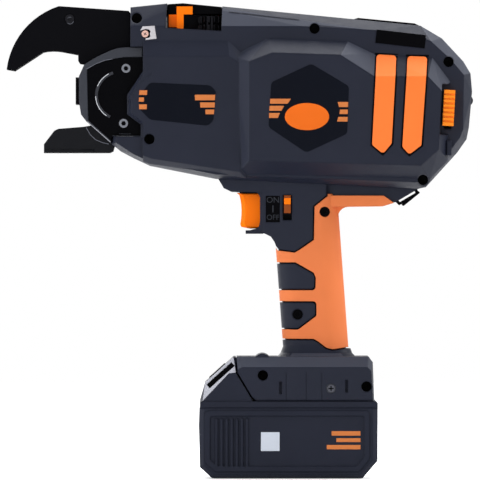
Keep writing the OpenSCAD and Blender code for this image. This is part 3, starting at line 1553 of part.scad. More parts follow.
module foot_screw() {
  color([0.5, 0.5, 0.52])
    mirror([0, 1, 0])
      difference() {
        union() {
          rod_y(foot_screw_at[0], foot_screw_at[1], foot_screw_r, foot_w - 1.4, foot_w - 0.2);
          rod_y(foot_screw_at[0], foot_screw_at[1], foot_screw_r / 2, foot_w - 5.3, foot_w - 1.3);
        }
        translate([foot_screw_at[0], foot_w, foot_screw_at[1]])
          for (a = [0, 90])
            rotate([0, a, 0])
              block([-foot_screw_r * 0.66, -0.9, -0.35], [foot_screw_r * 0.66, 1, 0.35]);
      }
}
module terminal_block() {
  color([0.08, 0.08, 0.09])
    union() {
      block([rail_x + 34.2, -11.8, foot_low + rail_h - 0.2],
        [rail_x + rail_len - 6.2, 11.8, foot_low + rail_h + 3.8]);
      for (y = [-9, -3, 3, 9])
        block([rail_x + 46, y - blade_t / 2, foot_low + rail_h - 3.4],
          [rail_x + rail_len - 6.2, y + blade_t / 2, foot_low + rail_h]);
    }
}
module tub_relief() {
  slab(batt_w - 0.2, batt_w + relief_t)
    difference() {
      polygon(rounded(relief_out, 2.8));
      polygon(rounded(relief_in, 1.6));
    }
  for (k = [0:relief_ribs - 1])
    block([relief_rib_x + k * relief_pitch, batt_w - 0.2, 7.5],
      [relief_rib_x + k * relief_pitch + relief_pitch / 2, batt_w + relief_t, tub_h - 6.5]);
}
module battery_tub() {
  color([0.15, 0.16, 0.2])
    difference() {
      union() {
        hull() {
          slab(-batt_w + 3, batt_w - 3)
            polygon(tub_side);
          slab(-batt_w, batt_w)
            polygon(tub_face);
        }
        for (s = [0, 1])
          mirror([0, s, 0])
            tub_relief();
      }
      slab(-batt_w + tub_wall, batt_w - tub_wall)
        polygon([
          [-batt_half + 3 + tub_wall, tub_h + 1], [-batt_half + 3 + tub_wall, 10],
          [-batt_half + 11, tub_wall], [batt_half - 12, tub_wall], [batt_half - 3 - tub_wall, 13],
          [batt_half - 3 - tub_wall, tub_h + 1]
        ]);
    }
}
module at_button() {
  translate([button_at[0], 0, button_at[1]])
    rotate([0, -button_turn, 0])
      children();
}
module battery_cover() {
  color([0.15, 0.16, 0.2])
    difference() {
      union() {
        slab(-batt_w + 0.6, batt_w - 0.6)
          polygon([[tower_front, tub_h], [tower_front, cover_top], [batt_half - 1, cover_top],
            [batt_half, cover_top - 1], [batt_half, tub_h]]);
        intersection() {
          hull() {
            slab(-tower_w + tower_bevel, tower_w - tower_bevel)
              polygon(tower_side);
            slab(-tower_w, tower_w)
              polygon(tower_face);
          }
          slab(-tower_w, tower_w)
            polygon(tower_side);
        }
        block([rail_x, -rail_w, cover_top - eps], [rail_x + rail_len, rail_w, cover_top + rail_h]);
        block([rail_x, -rail_w - rail_lip, cover_top + lip_t],
          [rail_x + rail_len, rail_w + rail_lip, cover_top + rail_h]);
      }
      slab(-tongue_w - fit_gap, tongue_w + fit_gap)
        polygon(inset(tongue_side, -fit_gap));
      for (y = [-9, -3, 3, 9])
        block([rail_x + 44, y - blade_t, cover_top + 1],
          [rail_x + rail_len + 1, y + blade_t, cover_top + rail_h + 1]);
      at_button() {
        block([-button_len / 2 - fit_gap, -button_w - fit_gap, -button_t - button_travel - 0.4],
          [button_len / 2 + fit_gap, button_w + fit_gap, 6]);
        for (s = [0, 1])
          mirror([0, s, 0])
            block([-10.5, tower_w - tower_bevel + 0.8, -4.6], [10.5, tower_w + 1, -1.6]);
      }
    }
}
module battery_button() {
  color([0.1, 0.1, 0.11])
    at_button()
      block([-button_len / 2, -button_w, -button_t], [button_len / 2, button_w, 0.6]);
}
module battery_cells() {
  color([0.3, 0.45, 0.6])
    for (p = cell_places)
      rod_y(p[0], p[1], cell_r, -cell_len / 2, cell_len / 2);
}
module cell_holders() {
  color([0.1, 0.1, 0.11])
    for (s = [0, 1])
      mirror([0, s, 0])
        difference() {
          block([-holder_half, holder_y, tub_wall], [holder_half, holder_y + holder_t, tub_h]);
          for (p = cell_places)
            rod_y(p[0], p[1], cell_r + run_gap, holder_y - 1, holder_y + holder_t + 1);
        }
}

body_left();
body_right();
grip_left();
grip_right();
stripe_inserts();
housing_screws();
nose_shell();
nose_plate_left();
nose_plate_right();
nose_screws();
contact_plate();
jaw_plate_left();
jaw_plate_right();
curl_guide();
jaw_bolt();
jaw_dowel();
lower_jaw();
lower_jaw_pin();
lower_jaw_spring();
cutter_block();
twist_motor();
sun_pinion();
planet_gear_a();
planet_gear_b();
planet_gear_c();
ring_gear();
gear_case();
spindle();
spindle_bearing();
twist_hook();
feed_bracket();
feed_motor();
feed_pinion();
feed_wheel();
feed_roller();
idler_roller();
feed_arm();
feed_arm_pin();
feed_lever();
wire_tube();
wire_reel();
wire_winding();
reel_pin();
reel_latch();
control_board();
control_panel();
trigger();
trigger_spring();
trigger_switch();
power_slide();
power_switch();
strap_eye();
foot_screw();
terminal_block();
battery_tub();
battery_cover();
battery_cells();
cell_holders();
battery_button();
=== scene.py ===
"""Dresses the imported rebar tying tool: studio, camera, finishes, printed panels and small trim."""
import math
import bpy
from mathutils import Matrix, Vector


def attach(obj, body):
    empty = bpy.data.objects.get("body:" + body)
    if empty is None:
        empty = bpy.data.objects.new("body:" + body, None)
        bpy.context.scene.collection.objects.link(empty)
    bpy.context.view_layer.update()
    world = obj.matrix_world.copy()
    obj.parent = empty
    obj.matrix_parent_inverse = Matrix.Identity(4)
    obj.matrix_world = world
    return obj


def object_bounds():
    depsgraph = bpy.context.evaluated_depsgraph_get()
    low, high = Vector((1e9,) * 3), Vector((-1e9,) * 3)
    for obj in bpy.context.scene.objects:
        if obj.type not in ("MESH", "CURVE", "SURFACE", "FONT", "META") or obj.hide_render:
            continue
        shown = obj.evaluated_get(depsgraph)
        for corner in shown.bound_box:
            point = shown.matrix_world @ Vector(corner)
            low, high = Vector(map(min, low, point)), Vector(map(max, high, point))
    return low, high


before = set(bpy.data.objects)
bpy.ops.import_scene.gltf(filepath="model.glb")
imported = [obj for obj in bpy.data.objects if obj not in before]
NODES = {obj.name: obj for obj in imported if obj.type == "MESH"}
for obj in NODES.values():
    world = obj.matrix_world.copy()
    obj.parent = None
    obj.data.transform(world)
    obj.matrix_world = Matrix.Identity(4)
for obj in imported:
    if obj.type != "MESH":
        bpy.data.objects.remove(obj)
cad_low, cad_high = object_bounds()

MM = 0.001

# The side view: millimetres in one pixel of the picture, and the pixel at the frame's origin
PIXEL = 0.63
ORIGIN_X, ORIGIN_Y = 288, 477

# Faces that prints and trim lie on, as Y in millimetres
FRONT_PANEL_Y = -35
POD_Y = -43
SWITCH_BLOCK_Y = -18
BATTERY_Y = -37.5
NOSE_Y = -24
NOSE_RIB_Y = -24.5
NOSE_FLOOR_Y = -23.5
LOWER_JAW_Y = -13
FOOT_SCREW_Y = -36
JAW_SCREW_Y = -11
REAR_SEAT_Y = -29.4

# The body's long top ridge falls to the rear, with a bevel below it, in millimetres
RIDGE_TOP, RIDGE_FALL = cad_high[2] / MM, 14.5
RIDGE_START, RIDGE_RUN = -66, 149
BEVEL_FOOT, BEVEL_TOP_Y, BEVEL_WIDE = RIDGE_TOP - 15, -20, 10


def side(px, py):
    """A point of the side view, given in the picture's pixels, as X and Z in metres."""
    return (px - ORIGIN_X) * PIXEL * MM, (ORIGIN_Y - py) * PIXEL * MM


def pixels(points):
    """Points of the side view, given as X and Z in millimetres, in the picture's pixels."""
    return [(x / PIXEL + ORIGIN_X, ORIGIN_Y - z / PIXEL) for x, z in points]


def layer(face_y, outer, inner=-0.1):
    """Back and front of a flat layer on a face, from inner to outer millimetres outside it."""
    return face_y - inner, face_y - outer


# Finishes

def linear(rgb):
    """A screen colour of 0 to 255, as the shader takes it."""
    levels = [c / 255 for c in rgb]
    return tuple(c / 12.92 if c <= 0.04045 else ((c + 0.055) / 1.055) ** 2.4 for c in levels) + (1.0,)


def shade(colour, k):
    """A colour made darker or lighter."""
    return tuple(min(1.0, c * k) for c in colour[:3]) + (1.0,)


def new_finish(name):
    """A new material, its node tree, its shader and its place on the object."""
    mat = bpy.data.materials.new(name)
    mat.use_nodes = True
    tree = mat.node_tree
    place = add_node(tree, "TexCoord").outputs["Object"]
    return mat, tree, tree.nodes["Principled BSDF"], place


def add_node(tree, kind, **values):
    """A new shader node; each value goes to the socket of that name, with _ for a space."""
    node = tree.nodes.new("ShaderNode" + kind)
    for socket, value in values.items():
        node.inputs[socket.replace("_", " ")].default_value = value
    return node


def noise(tree, place, **values):
    """A cloudy pattern."""
    node = add_node(tree, "TexNoise", **values)
    tree.links.new(place, node.inputs["Vector"])
    return node.outputs["Fac"]


def spread(tree, pattern, low, high, bottom=0.3, top=0.7):
    """Turns a pattern into a colour between low and high."""
    ramp = add_node(tree, "ValToRGB")
    for stop, position, colour in zip(ramp.color_ramp.elements, (bottom, top), (low, high)):
        stop.position = position
        stop.color = colour
    tree.links.new(pattern, ramp.inputs["Fac"])
    return ramp.outputs["Color"]


def uneven_gloss(tree, shader, pattern, **levels):
    """Roughness that follows a pattern."""
    gloss = add_node(tree, "MapRange", **levels)
    tree.links.new(pattern, gloss.inputs["Value"])
    tree.links.new(gloss.outputs["Result"], shader.inputs["Roughness"])


def soft_surface(tree, shader, pattern, rounding, strength, height):
    """Rounded edges with a fine relief on top; the radius and the height are in millimetres."""
    edge = add_node(tree, "Bevel", Radius=rounding * MM)
    edge.samples = 4
    bump = add_node(tree, "Bump", Strength=strength, Distance=height * MM)
    tree.links.new(pattern, bump.inputs["Height"])
    tree.links.new(edge.outputs["Normal"], bump.inputs["Normal"])
    tree.links.new(bump.outputs["Normal"], shader.inputs["Normal"])


def moulded(name, rgb, rough=0.5, grain=2200, depth=0.12, vary=0.06, rounding=0.5, coat=0.0, specular=0.5):
    """Plastic, rubber or paint: a slow drift of colour, a fine grain, softened edges and uneven gloss."""
    mat, tree, shader, place = new_finish(name)
    base = linear(rgb)
    scuff, grain_height = 0.05, 0.2
    drift = noise(tree, place, Scale=28, Detail=2.0, Roughness=0.55)
    rub = noise(tree, place, Scale=160, Detail=4.0, Roughness=0.65)
    fine = noise(tree, place, Scale=grain, Detail=2.0, Roughness=0.55)
    colour = spread(tree, drift, shade(base, 1 - vary), shade(base, 1 + vary))
    tree.links.new(colour, shader.inputs["Base Color"])
    uneven_gloss(tree, shader, rub, From_Min=0.3, From_Max=0.7, To_Min=rough - scuff, To_Max=rough + scuff)
    soft_surface(tree, shader, fine, rounding, depth, grain_height)
    shader.inputs["Specular IOR Level"].default_value = specular
    shader.inputs["Coat Weight"].default_value = coat
    shader.inputs["Coat Roughness"].default_value = 0.15
    return mat


def machined(name, rgb, rough):
    """Bare or blackened metal with fine tool marks."""
    mat, tree, shader, place = new_finish(name)
    base = linear(rgb)
    rounding, mark_depth, mark_height = 0.15, 0.06, 0.1
    stretch = add_node(tree, "Mapping", Scale=(1, 1, 14))
    tree.links.new(place, stretch.inputs["Vector"])
    marks = noise(tree, stretch.outputs["Vector"], Scale=260, Detail=4)
    colour = spread(tree, marks, shade(base, 0.82), shade(base, 1.12))
    tree.links.new(colour, shader.inputs["Base Color"])
    uneven_gloss(tree, shader, marks, To_Min=rough - 0.08, To_Max=rough + 0.12)
    soft_surface(tree, shader, marks, rounding, mark_depth, mark_height)
    shader.inputs["Metallic"].default_value = 1.0
    return mat


SLATE_SKIN = dict(rough=0.44, grain=2600, depth=0.16)
SMOOTH_SKIN = dict(grain=1500, depth=0.04)
COAT_SKIN = dict(grain=900, depth=0.08)
RIM_SKIN = dict(rough=0.4, grain=1800, depth=0.06)
PRINT_SKIN = dict(grain=900, depth=0.02, rounding=0.05)

SLATE = moulded("slate_housing", (28, 31, 43), **SLATE_SKIN, rounding=1.8, specular=0.09)
SLATE_BATTERY = moulded("slate_battery", (27, 30, 42), **SLATE_SKIN, rounding=1.4, specular=0.08)
# Painted highlight: a lighter slate laid on lit facets and bevels of the housing
SLATE_HIGHLIGHT = moulded("slate_highlight", (58, 61, 72), **SLATE_SKIN, rounding=1.2, specular=0.12)
# Painted highlight: a slightly lighter slate laid on the front panel's edge and the slopes beside the pod
SLATE_SOFT_HIGHLIGHT = moulded("slate_soft_highlight", (37, 40, 52), **SLATE_SKIN, rounding=1.8, specular=0.1)
GRIP_ORANGE = moulded("soft_orange", (215, 117, 67), rough=0.62, grain=3200, depth=0.22, vary=0.05,
                      rounding=0.8, specular=0.12)
ORANGE = moulded("smooth_orange", (254, 117, 0), **SMOOTH_SKIN, rough=0.34, vary=0.04,
                 rounding=0.6, specular=0.06)
LATCH_ORANGE = moulded("latch_orange", (243, 132, 24), **SMOOTH_SKIN, rough=0.36, vary=0.04, specular=0.1)
# Painted shade: a darkened orange in the hollows of the on/off slide
SHADED_ORANGE = moulded("shaded_orange", (128, 60, 16), **SMOOTH_SKIN, rough=0.4, rounding=0.3, specular=0.1)
STRIPE = moulded("stripe_orange", (239, 117, 48), rough=0.42, grain=1800, depth=0.06, vary=0.03,
                 rounding=0.4, specular=0.12)
# Black of the black mouldings, also laid as painted shade in grooves, seats, slots, recesses and gaps
BLACK_AND_SHADE = moulded("black_moulding_and_shade", (2, 2, 4), rough=0.42, grain=2400, depth=0.1, rounding=0.3, specular=0.02)
JAW = moulded("black_coat", (3, 3, 6), **COAT_SKIN, rough=0.45, rounding=0.8, specular=0.03)
LOWER_JAW = moulded("worn_coat", (7, 8, 13), **COAT_SKIN, rough=0.4, rounding=1.2, specular=0.07)
NOSE_RIM = moulded("nose_rim", (35, 38, 47), rough=0.36, grain=1800, depth=0.08, rounding=1.0, specular=0.2)
# Grey of the battery's front bevel, made paler as a painted highlight
TOWER_RIM_AND_HIGHLIGHT = moulded("tower_rim_and_highlight", (166, 167, 176), **RIM_SKIN, rounding=1.2, specular=0.2)
# Painted highlights: pale and grey strips and rings laid on edges and round screws
PALE_HIGHLIGHT = moulded("pale_highlight", (150, 151, 158), **RIM_SKIN, rounding=0.5, specular=0.2)
EDGE_HIGHLIGHT = moulded("edge_highlight", (92, 94, 103), **RIM_SKIN, rounding=0.3, specular=0.15)
LABEL = moulded("label_black", (8, 11, 20), rough=0.36, grain=700, depth=0.02, rounding=0.1, specular=0.03)
PRINT = moulded("print_orange", (196, 114, 60), **PRINT_SKIN, specular=0.1)
BADGE = moulded("badge_orange", (222, 102, 24), **PRINT_SKIN, specular=0.08)
PALE = moulded("pale_print", (195, 201, 212), **PRINT_SKIN, specular=0.1)
MARK = moulded("dull_mark", (40, 42, 48), **PRINT_SKIN, rough=0.6, specular=0.1)
BOARD = moulded("board_green", (24, 84, 50), rough=0.35, grain=400, depth=0.05)
CELL = moulded("cell_sleeve", (66, 108, 150), rough=0.3, grain=500, depth=0.02, coat=0.3)
STEEL = machined("bright_steel", (150, 152, 156), rough=0.28)
SCREW = machined("screw_steel", (88, 90, 96), rough=0.32)
FOOT_SCREW = machined("foot_screw_steel", (58, 59, 65), rough=0.34)
TAB_STEEL = machined("tab_steel", (152, 149, 153), rough=0.36)
TAB_SCREW = machined("tab_screw_steel", (172, 139, 129), rough=0.36)
RIB = machined("rib_steel", (40, 41, 45), rough=0.36)
GEAR = machined("gear_steel", (140, 142, 148), rough=0.34)
DARK_STEEL = machined("dark_steel", (24, 24, 27), rough=0.45)
CAST = machined("cast_alloy", (165, 167, 170), rough=0.45)


def dress_nodes():
    """Gives every solid its finish; those that no row names are gear steel."""
    finish_of = {}
    for names, finish in (
            ("body_left body_right", SLATE),
            ("battery_tub battery_cover", SLATE_BATTERY),
            ("grip_left grip_right", GRIP_ORANGE),
            ("feed_lever trigger power_slide", ORANGE),
            ("reel_latch", LATCH_ORANGE),
            ("stripe_inserts", STRIPE),
            ("contact_plate feed_bracket control_panel trigger_switch power_switch strap_eye", BLACK_AND_SHADE),
            ("terminal_block cell_holders housing_screws battery_button wire_reel", BLACK_AND_SHADE),
            ("nose_plate_left nose_plate_right", BLACK_AND_SHADE),
            ("jaw_plate_left jaw_plate_right curl_guide", JAW),
            ("lower_jaw", LOWER_JAW),
            ("nose_shell", NOSE_RIM),
            ("nose_screws", SCREW),
            ("foot_screw", FOOT_SCREW),
            ("jaw_dowel trigger_spring wire_winding", STEEL),
            ("jaw_bolt lower_jaw_spring feed_roller idler_roller", DARK_STEEL),
            ("gear_case", CAST),
            ("control_board", BOARD),
            ("battery_cells", CELL)):
        for name in names.split():
            finish_of[name] = finish
    for name, node in NODES.items():
        node.data.materials.clear()
        node.data.materials.append(finish_of.get(name, GEAR))


# Tools for flat pieces

def lying_on(node):
    """The depth of a solid's near face at a point of the side view, as plate() takes it."""
    def depth(x, z):
        _, spot, _, _ = NODES[node].ray_cast(Vector((x * MM, -1, z * MM)), Vector((0, 1, 0)))
        return spot.y / MM
    return depth


def plate(name, outline, back, face, finish, body="tool", corner=0.0, edge=0.0):
    """A flat piece with the given side outline in pixels, from y = back to y = face in millimetres.

    On a sloping seat, back is a function of X and Z in millimetres, and face is the piece's thickness.
    """
    bpy.ops.object.select_all(action="DESELECT")
    bpy.ops.mesh.primitive_circle_add(vertices=len(outline), radius=0.01, fill_type="NGON")
    ob = bpy.context.object
    ob.name = name
    for v, p in zip(ob.data.vertices, outline):
        x, z = side(*p)
        v.co = (x, (back(x / MM, z / MM) if callable(back) else back) * MM, z)
    bpy.ops.object.mode_set(mode="EDIT")
    bpy.ops.mesh.select_all(action="SELECT")
    if corner:
        bpy.ops.mesh.bevel(offset=corner * MM, segments=5, affect="VERTICES")
        bpy.ops.mesh.select_all(action="SELECT")
    rise = -face if callable(back) else face - back
    bpy.ops.mesh.extrude_region_move(TRANSFORM_OT_translate={"value": (0, rise * MM, 0)})
    bpy.ops.mesh.select_all(action="SELECT")
    bpy.ops.mesh.normals_make_consistent(inside=False)
    bpy.ops.object.mode_set(mode="OBJECT")
    if edge:
        soften(ob, edge)
    ob.data.materials.append(finish)
    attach(ob, body)
    return ob


def soften(ob, width):
    """Rounds the sharp edges of a piece."""
    rounding = ob.modifiers.new("rounding", "BEVEL")
    rounding.width = width * MM
    rounding.segments = 2
    rounding.limit_method = "ANGLE"
    rounding.angle_limit = math.radians(35)
    bpy.context.view_layer.objects.active = ob
    bpy.ops.object.modifier_apply(modifier=rounding.name)


def group(name, parts):
    """Several flat pieces as one piece."""
    bpy.ops.object.select_all(action="DESELECT")
    for ob in parts:
        ob.select_set(True)
    bpy.context.view_layer.objects.active = parts[0]
    bpy.ops.object.join()
    parts[0].name = name
    return parts[0]


def word(name, letters, middle, tall, back, face, finish):
    """Raised letters, read from the photographed side."""
    bpy.ops.object.select_all(action="DESELECT")
    bpy.ops.object.text_add()
    ob = bpy.context.object
    ob.data.body = letters
    ob.data.size = tall * MM
    ob.data.align_x = "CENTER"
    ob.data.align_y = "CENTER"
    ob.data.extrude = (back - face) / 2 * MM
    bpy.ops.object.convert(target="MESH")
    ob = bpy.context.object
    ob.name = name
    x, z = side(*middle)
    ob.rotation_euler = (math.radians(90), 0, 0)
    ob.location = (x, (back + face) / 2 * MM, z)
    bpy.ops.object.transform_apply(location=True, rotation=True, scale=True)
    ob.data.materials.append(finish)
    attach(ob, "tool")
    return ob


def box_outline(x0, y0, x1, y1, lean_left=0.0, lean_right=0.0):
    """A bar's outline, with ends that may slant by so many pixels from top to bottom."""
    return [(x0, y0), (x1, y0), (x1 + lean_right, y1), (x0 + lean_left, y1)]


def oval(middle, across, up, steps=48):
    """Outline of an oval, given by its half width and half height."""
    turn = [2 * math.pi * k / steps for k in range(steps)]
    return [(middle[0] + across * math.cos(a), middle[1] + up * math.sin(a)) for a in turn]


def arc(middle, radius, thick, start, stop, steps=24):
    """Outline of a bent strip, angles in degrees from the right, upwards."""
    turn = [math.radians(start + (stop - start) * k / steps) for k in range(steps + 1)]
    outer = [(middle[0] + radius * math.cos(a), middle[1] - radius * math.sin(a)) for a in turn]
    hollow = radius - thick
    inner = [(middle[0] + hollow * math.cos(a), middle[1] - hollow * math.sin(a)) for a in reversed(turn)]
    return outer + inner


def band(points, wide):
    """Outline of a narrow strip along points of the side view."""
    left, right = [], []
    for k, (x, y) in enumerate(points):
        (x0, y0), (x1, y1) = points[max(k - 1, 0)], points[min(k + 1, len(points) - 1)]
        reach = math.hypot(x1 - x0, y1 - y0)
        dx, dy = (y0 - y1) / reach * wide / 2, (x1 - x0) / reach * wide / 2
        left.append((x + dx, y + dy))
        right.append((x - dx, y - dy))
    return left + right[::-1]


def ring(name, middle, radius, thick, back, face, finish):
    """A flat ring in the side view, of two half rings."""
    halves = [arc(middle, radius, thick, start, start + 180) for start in (0, 180)]
    return group(name, [plate("half", half, back, face, finish) for half in halves])


def bars(name, shapes, back, face, body="tool"):
    """Printed bars, as one piece."""
    return group(name, [plate("bar", box_outline(*s), back, face, PRINT, body) for s in shapes])


# Printed panels in pixels; a bar is its left, top, right and bottom, and the slant of its ends

FRONT_LABEL = [(150.6, 83.5), (210.3, 86.2), (216.2, 92.2), (213.5, 121.5),
               (208, 126.4), (150.6, 120.4), (140.8, 110.6), (139, 97.6)]
FRONT_BARS = ((140, 91.2, 147.8, 95.8, -0.4, -0.3), (139.6, 98.3, 144.6, 102.5, -0.3, -0.2),
              (139.6, 105.2, 147.4, 110, 0.2, -0.2), (195, 95.6, 215.4, 101.1, 0.4, -0.4),
              (200.3, 103.2, 215, 108.3, 0.3, -0.3), (205.6, 110.3, 214.4, 115, 0.2, -0.4))
SIDE_LABEL = [(310.6, 65), (348.2, 87.3), (346.4, 134.5), (305.8, 153.3), (268.3, 128), (271, 83.5)]
SIDE_BARS = ((270, 99.8, 290.5, 104.7, -0.2, -3.2), (269.4, 106.8, 283.8, 111.7, -0.2, -2.6),
             (268.9, 113.9, 279.6, 118.8, 0, -2), (337, 103, 347.4, 108, 1.4, -0.2),
             (339.2, 110.5, 347.2, 115, -0.4, -0.2), (337.6, 117.8, 346.9, 122.4, -1.2, -0.2))
BADGE_MIDDLE, BADGE_ACROSS, BADGE_UP = (306.5, 117.5), 22, 13.5
SWITCH_PLATE = (265.9, 196, 279.7, 222.2)
ON_MIDDLE, OFF_MIDDLE = (272.8, 200.3), (272.8, 217.6)
SWITCH_TICK = (272.2, 205.5, 273.4, 212.5)
BATTERY_SQUARE = (260.8, 431, 279.3, 449.7)
BATTERY_BARS = ((331, 430, 359.7, 434.4), (335.8, 437, 359.7, 440.8), (326.2, 443.7, 359.7, 448))


def front_label():
    """Dark plate with bars on the front panel."""
    plate("front_label", FRONT_LABEL, *layer(FRONT_PANEL_Y, 0.2, inner=-0.2), LABEL, corner=1.6)
    bars("front_label_bars", FRONT_BARS, *layer(FRONT_PANEL_Y, 0.3, inner=0.1))


def side_label():
    """Dark six-sided plate with bars and a plain oval on the pod."""
    badge = oval(BADGE_MIDDLE, BADGE_ACROSS, BADGE_UP)
    plate("side_label", SIDE_LABEL, *layer(POD_Y, 0.2, inner=-0.2), LABEL, corner=1.8)
    bars("side_label_bars", SIDE_BARS, *layer(POD_Y, 0.3, inner=0.1))
    plate("badge", badge, *layer(POD_Y, 0.45, inner=0.1), BADGE, edge=0.15)


def switch_plate():
    """Plate beside the on/off slide, with its two words and the tick between them."""
    on_tall, off_tall = 5.2, 4.6
    on_block = layer(SWITCH_BLOCK_Y, 0.2, inner=-0.2)
    raised = layer(SWITCH_BLOCK_Y, 0.3, inner=0.15)
    plate("switch_plate", box_outline(*SWITCH_PLATE), *on_block, BLACK_AND_SHADE, corner=0.5)
    word("switch_on_word", "ON", ON_MIDDLE, on_tall, *raised, MARK)
    word("switch_off_word", "OFF", OFF_MIDDLE, off_tall, *raised, MARK)
    plate("switch_tick", box_outline(*SWITCH_TICK), *raised, MARK)


def battery_label():
    """Pale square and bars on the battery."""
    printed = layer(BATTERY_Y, 0.15)
    plate("battery_square", box_outline(*BATTERY_SQUARE), *printed, PALE, "battery", corner=0.3)
    bars("battery_bars", BATTERY_BARS, *printed, "battery")


# Trim of the nose, in pixels, most of it painted highlights; a stretch of highlight on the rib is its radius
# and its ends in degrees

NOSE_UPPER_EDGE = [(86.6, 69.9), (96.6, 64.4), (105.8, 60.9), (113, 59.6)]
NOSE_LOWER_EDGE = [(88, 122.2), (99.6, 132.4), (111.2, 142.6)]
LOWER_JAW_EDGE = [(86.4, 127.6), (90.6, 134.9), (95.7, 139.8), (102.6, 142.8), (109, 144.2)]
RIB_MIDDLE = (120.6, 96)
RIB_HIGHLIGHTS = ((24.6, 118, 158), (24.7, 182, 236))
NOSE_LEDGE = (119.8, 134, 131.5, 134.7)


def nose_trim():
    """Painted highlights along the edges of the nose and the lower jaw and on the round rib, and the ledge
    below.
    """
    highlight_wide, pale_wide = 0.7, 0.8
    on_nose = layer(NOSE_Y, 0.15)
    on_jaw = layer(LOWER_JAW_Y, 0.2)
    on_rib = layer(NOSE_RIB_Y, 0.05)
    plate("nose_upper_edge", band(NOSE_UPPER_EDGE, highlight_wide), *on_nose, EDGE_HIGHLIGHT)
    plate("nose_lower_edge", band(NOSE_LOWER_EDGE, pale_wide), *on_nose, PALE_HIGHLIGHT)
    plate("lower_jaw_edge", band(LOWER_JAW_EDGE, highlight_wide), *on_jaw, EDGE_HIGHLIGHT, "lower_jaw")
    group("rib_highlights", [plate("highlight_arc", arc(RIB_MIDDLE, radius, highlight_wide, start, stop), *on_rib, STEEL)
                       for radius, start, stop in RIB_HIGHLIGHTS])
    plate("nose_ledge", box_outline(*NOSE_LEDGE), *layer(NOSE_FLOOR_Y, 0.3), NOSE_RIM)


# Beds of the stripes, black as painted shade round them, in millimetres: the brow's height, and the corners
# clockwise from the top left

STRIPE_SHADE_BEDS = ((264.6, (54.4, 266.7), (68.7, 266), (65.7, 209.2), (59.2, 201.9), (51.4, 208.4)),
               (263.4, (73.8, 265.6), (88.1, 265.3), (84.3, 208), (75.6, 201.4), (70.3, 207.2)))
POD_CREASE = 251.6


def stripe_shade_beds():
    """Black beds that paint a line of shade round the stripes, in flat pieces that end at the crease and the
    brow.
    """
    on_pod = lying_on("body_left")
    thick, brow_clear, crease_clear = 0.12, 0.7, 0.05
    above, below = POD_CREASE + crease_clear, POD_CREASE - crease_clear
    beds = []
    for brow, top_left, top_right, low_right, tip, low_left in STRIPE_SHADE_BEDS:
        left, right = (a[0] + (b[0] - a[0]) * (POD_CREASE - a[1]) / (b[1] - a[1])
                       for a, b in ((low_left, top_left), (low_right, top_right)))
        over_brow = brow + brow_clear
        cap = [top_left, (top_left[0], over_brow), (top_right[0], over_brow), top_right]
        upper = [(top_left[0], brow), (left, above), (right, above), (top_right[0], brow)]
        lower = [(left, below), low_left, tip, low_right, (right, below)]
        beds += [plate("shade_bed", pixels(piece), on_pod, thick, BLACK_AND_SHADE) for piece in (cap, upper, lower)]
    group("stripe_shade_beds", beds)


# Trim of the housing: outlines in pixels, and the two ends across the tool as Y in millimetres

FRONT_PANEL_EDGE = [(151, 73.2), (140, 82), (132.8, 93), (130.2, 103), (130.4, 117), (134, 125)]
SEAM = [(236.1, 357.2), (236.1, 371.9), (250.6, 395.6)]
SEAM_SHADE_WEDGE = [(250.2, 394.8), (251.2, 395), (256.2, 399.5), (256.2, 400.4), (253.2, 400.4)]
SEAM_Y = (-30, -20)
TRIGGER_LIP = [(263, 191.8), (255.6, 191.8), (258.6, 194.2), (259.9, 198), (259.9, 222), (258.8, 226.4),
               (256.4, 228.5), (252.4, 229.5), (249.6, 230.4), (249.6, 231.6), (263, 231.6)]
# Rims over the trigger and the slide's darker pieces are painted shade
TRIGGER_SHADE_RIM = (239.6, 191.2, 258, 193.4)
TRIGGER_SHADE_RIMS_Y = ((-8.2, -15), (15, 8.2))
SLIDE_MIDDLE = (287.3, 200.5)
SLIDE_SHADES = (((283.9, 195.7, 290.5, 198.4), SHADED_ORANGE), ((283.9, 204.6, 290.5, 213.2), SHADED_ORANGE),
                 ((283.1, 213.2, 291.3, 215.5), BLACK_AND_SHADE), ((283.1, 195.5, 283.9, 213.2), BLACK_AND_SHADE),
                 ((290.5, 195.5, 291.3, 213.2), BLACK_AND_SHADE))
STRAP_SLEEVE = [(405, 199.6), (418.4, 190.9), (420, 192.8), (403.4, 206.2), (401.4, 204.6)]
STRAP_SLEEVE_Y = (4.4, -4.4)
FOOT_RING_MIDDLE, FOOT_RING_RADIUS, FOOT_RING_WIDE = (330.5, 387.6), 4.9, 0.7
JAW_RING_MIDDLE, JAW_RING_RADIUS, JAW_RING_WIDE = (70.4, 20.9), 3.7, 0.6


def seam_trim():
    """Painted highlight along the edge of the front panel, and black pieces in the seam between the foot and
    the tower as painted shade.
    """
    edge_wide, edge_thick, shade_wide = 3.6, 0.1, 0.75
    panel_edge = band(FRONT_PANEL_EDGE, edge_wide)
    plate("front_panel_edge", panel_edge, lying_on("body_left"), edge_thick, SLATE_SOFT_HIGHLIGHT)
    # A black sheet and wedge in the seam paint its shade where the gap would show through
    plate("seam_shade", band(SEAM, shade_wide), *SEAM_Y, BLACK_AND_SHADE)
    plate("seam_shade_wedge", SEAM_SHADE_WEDGE, *SEAM_Y, BLACK_AND_SHADE)


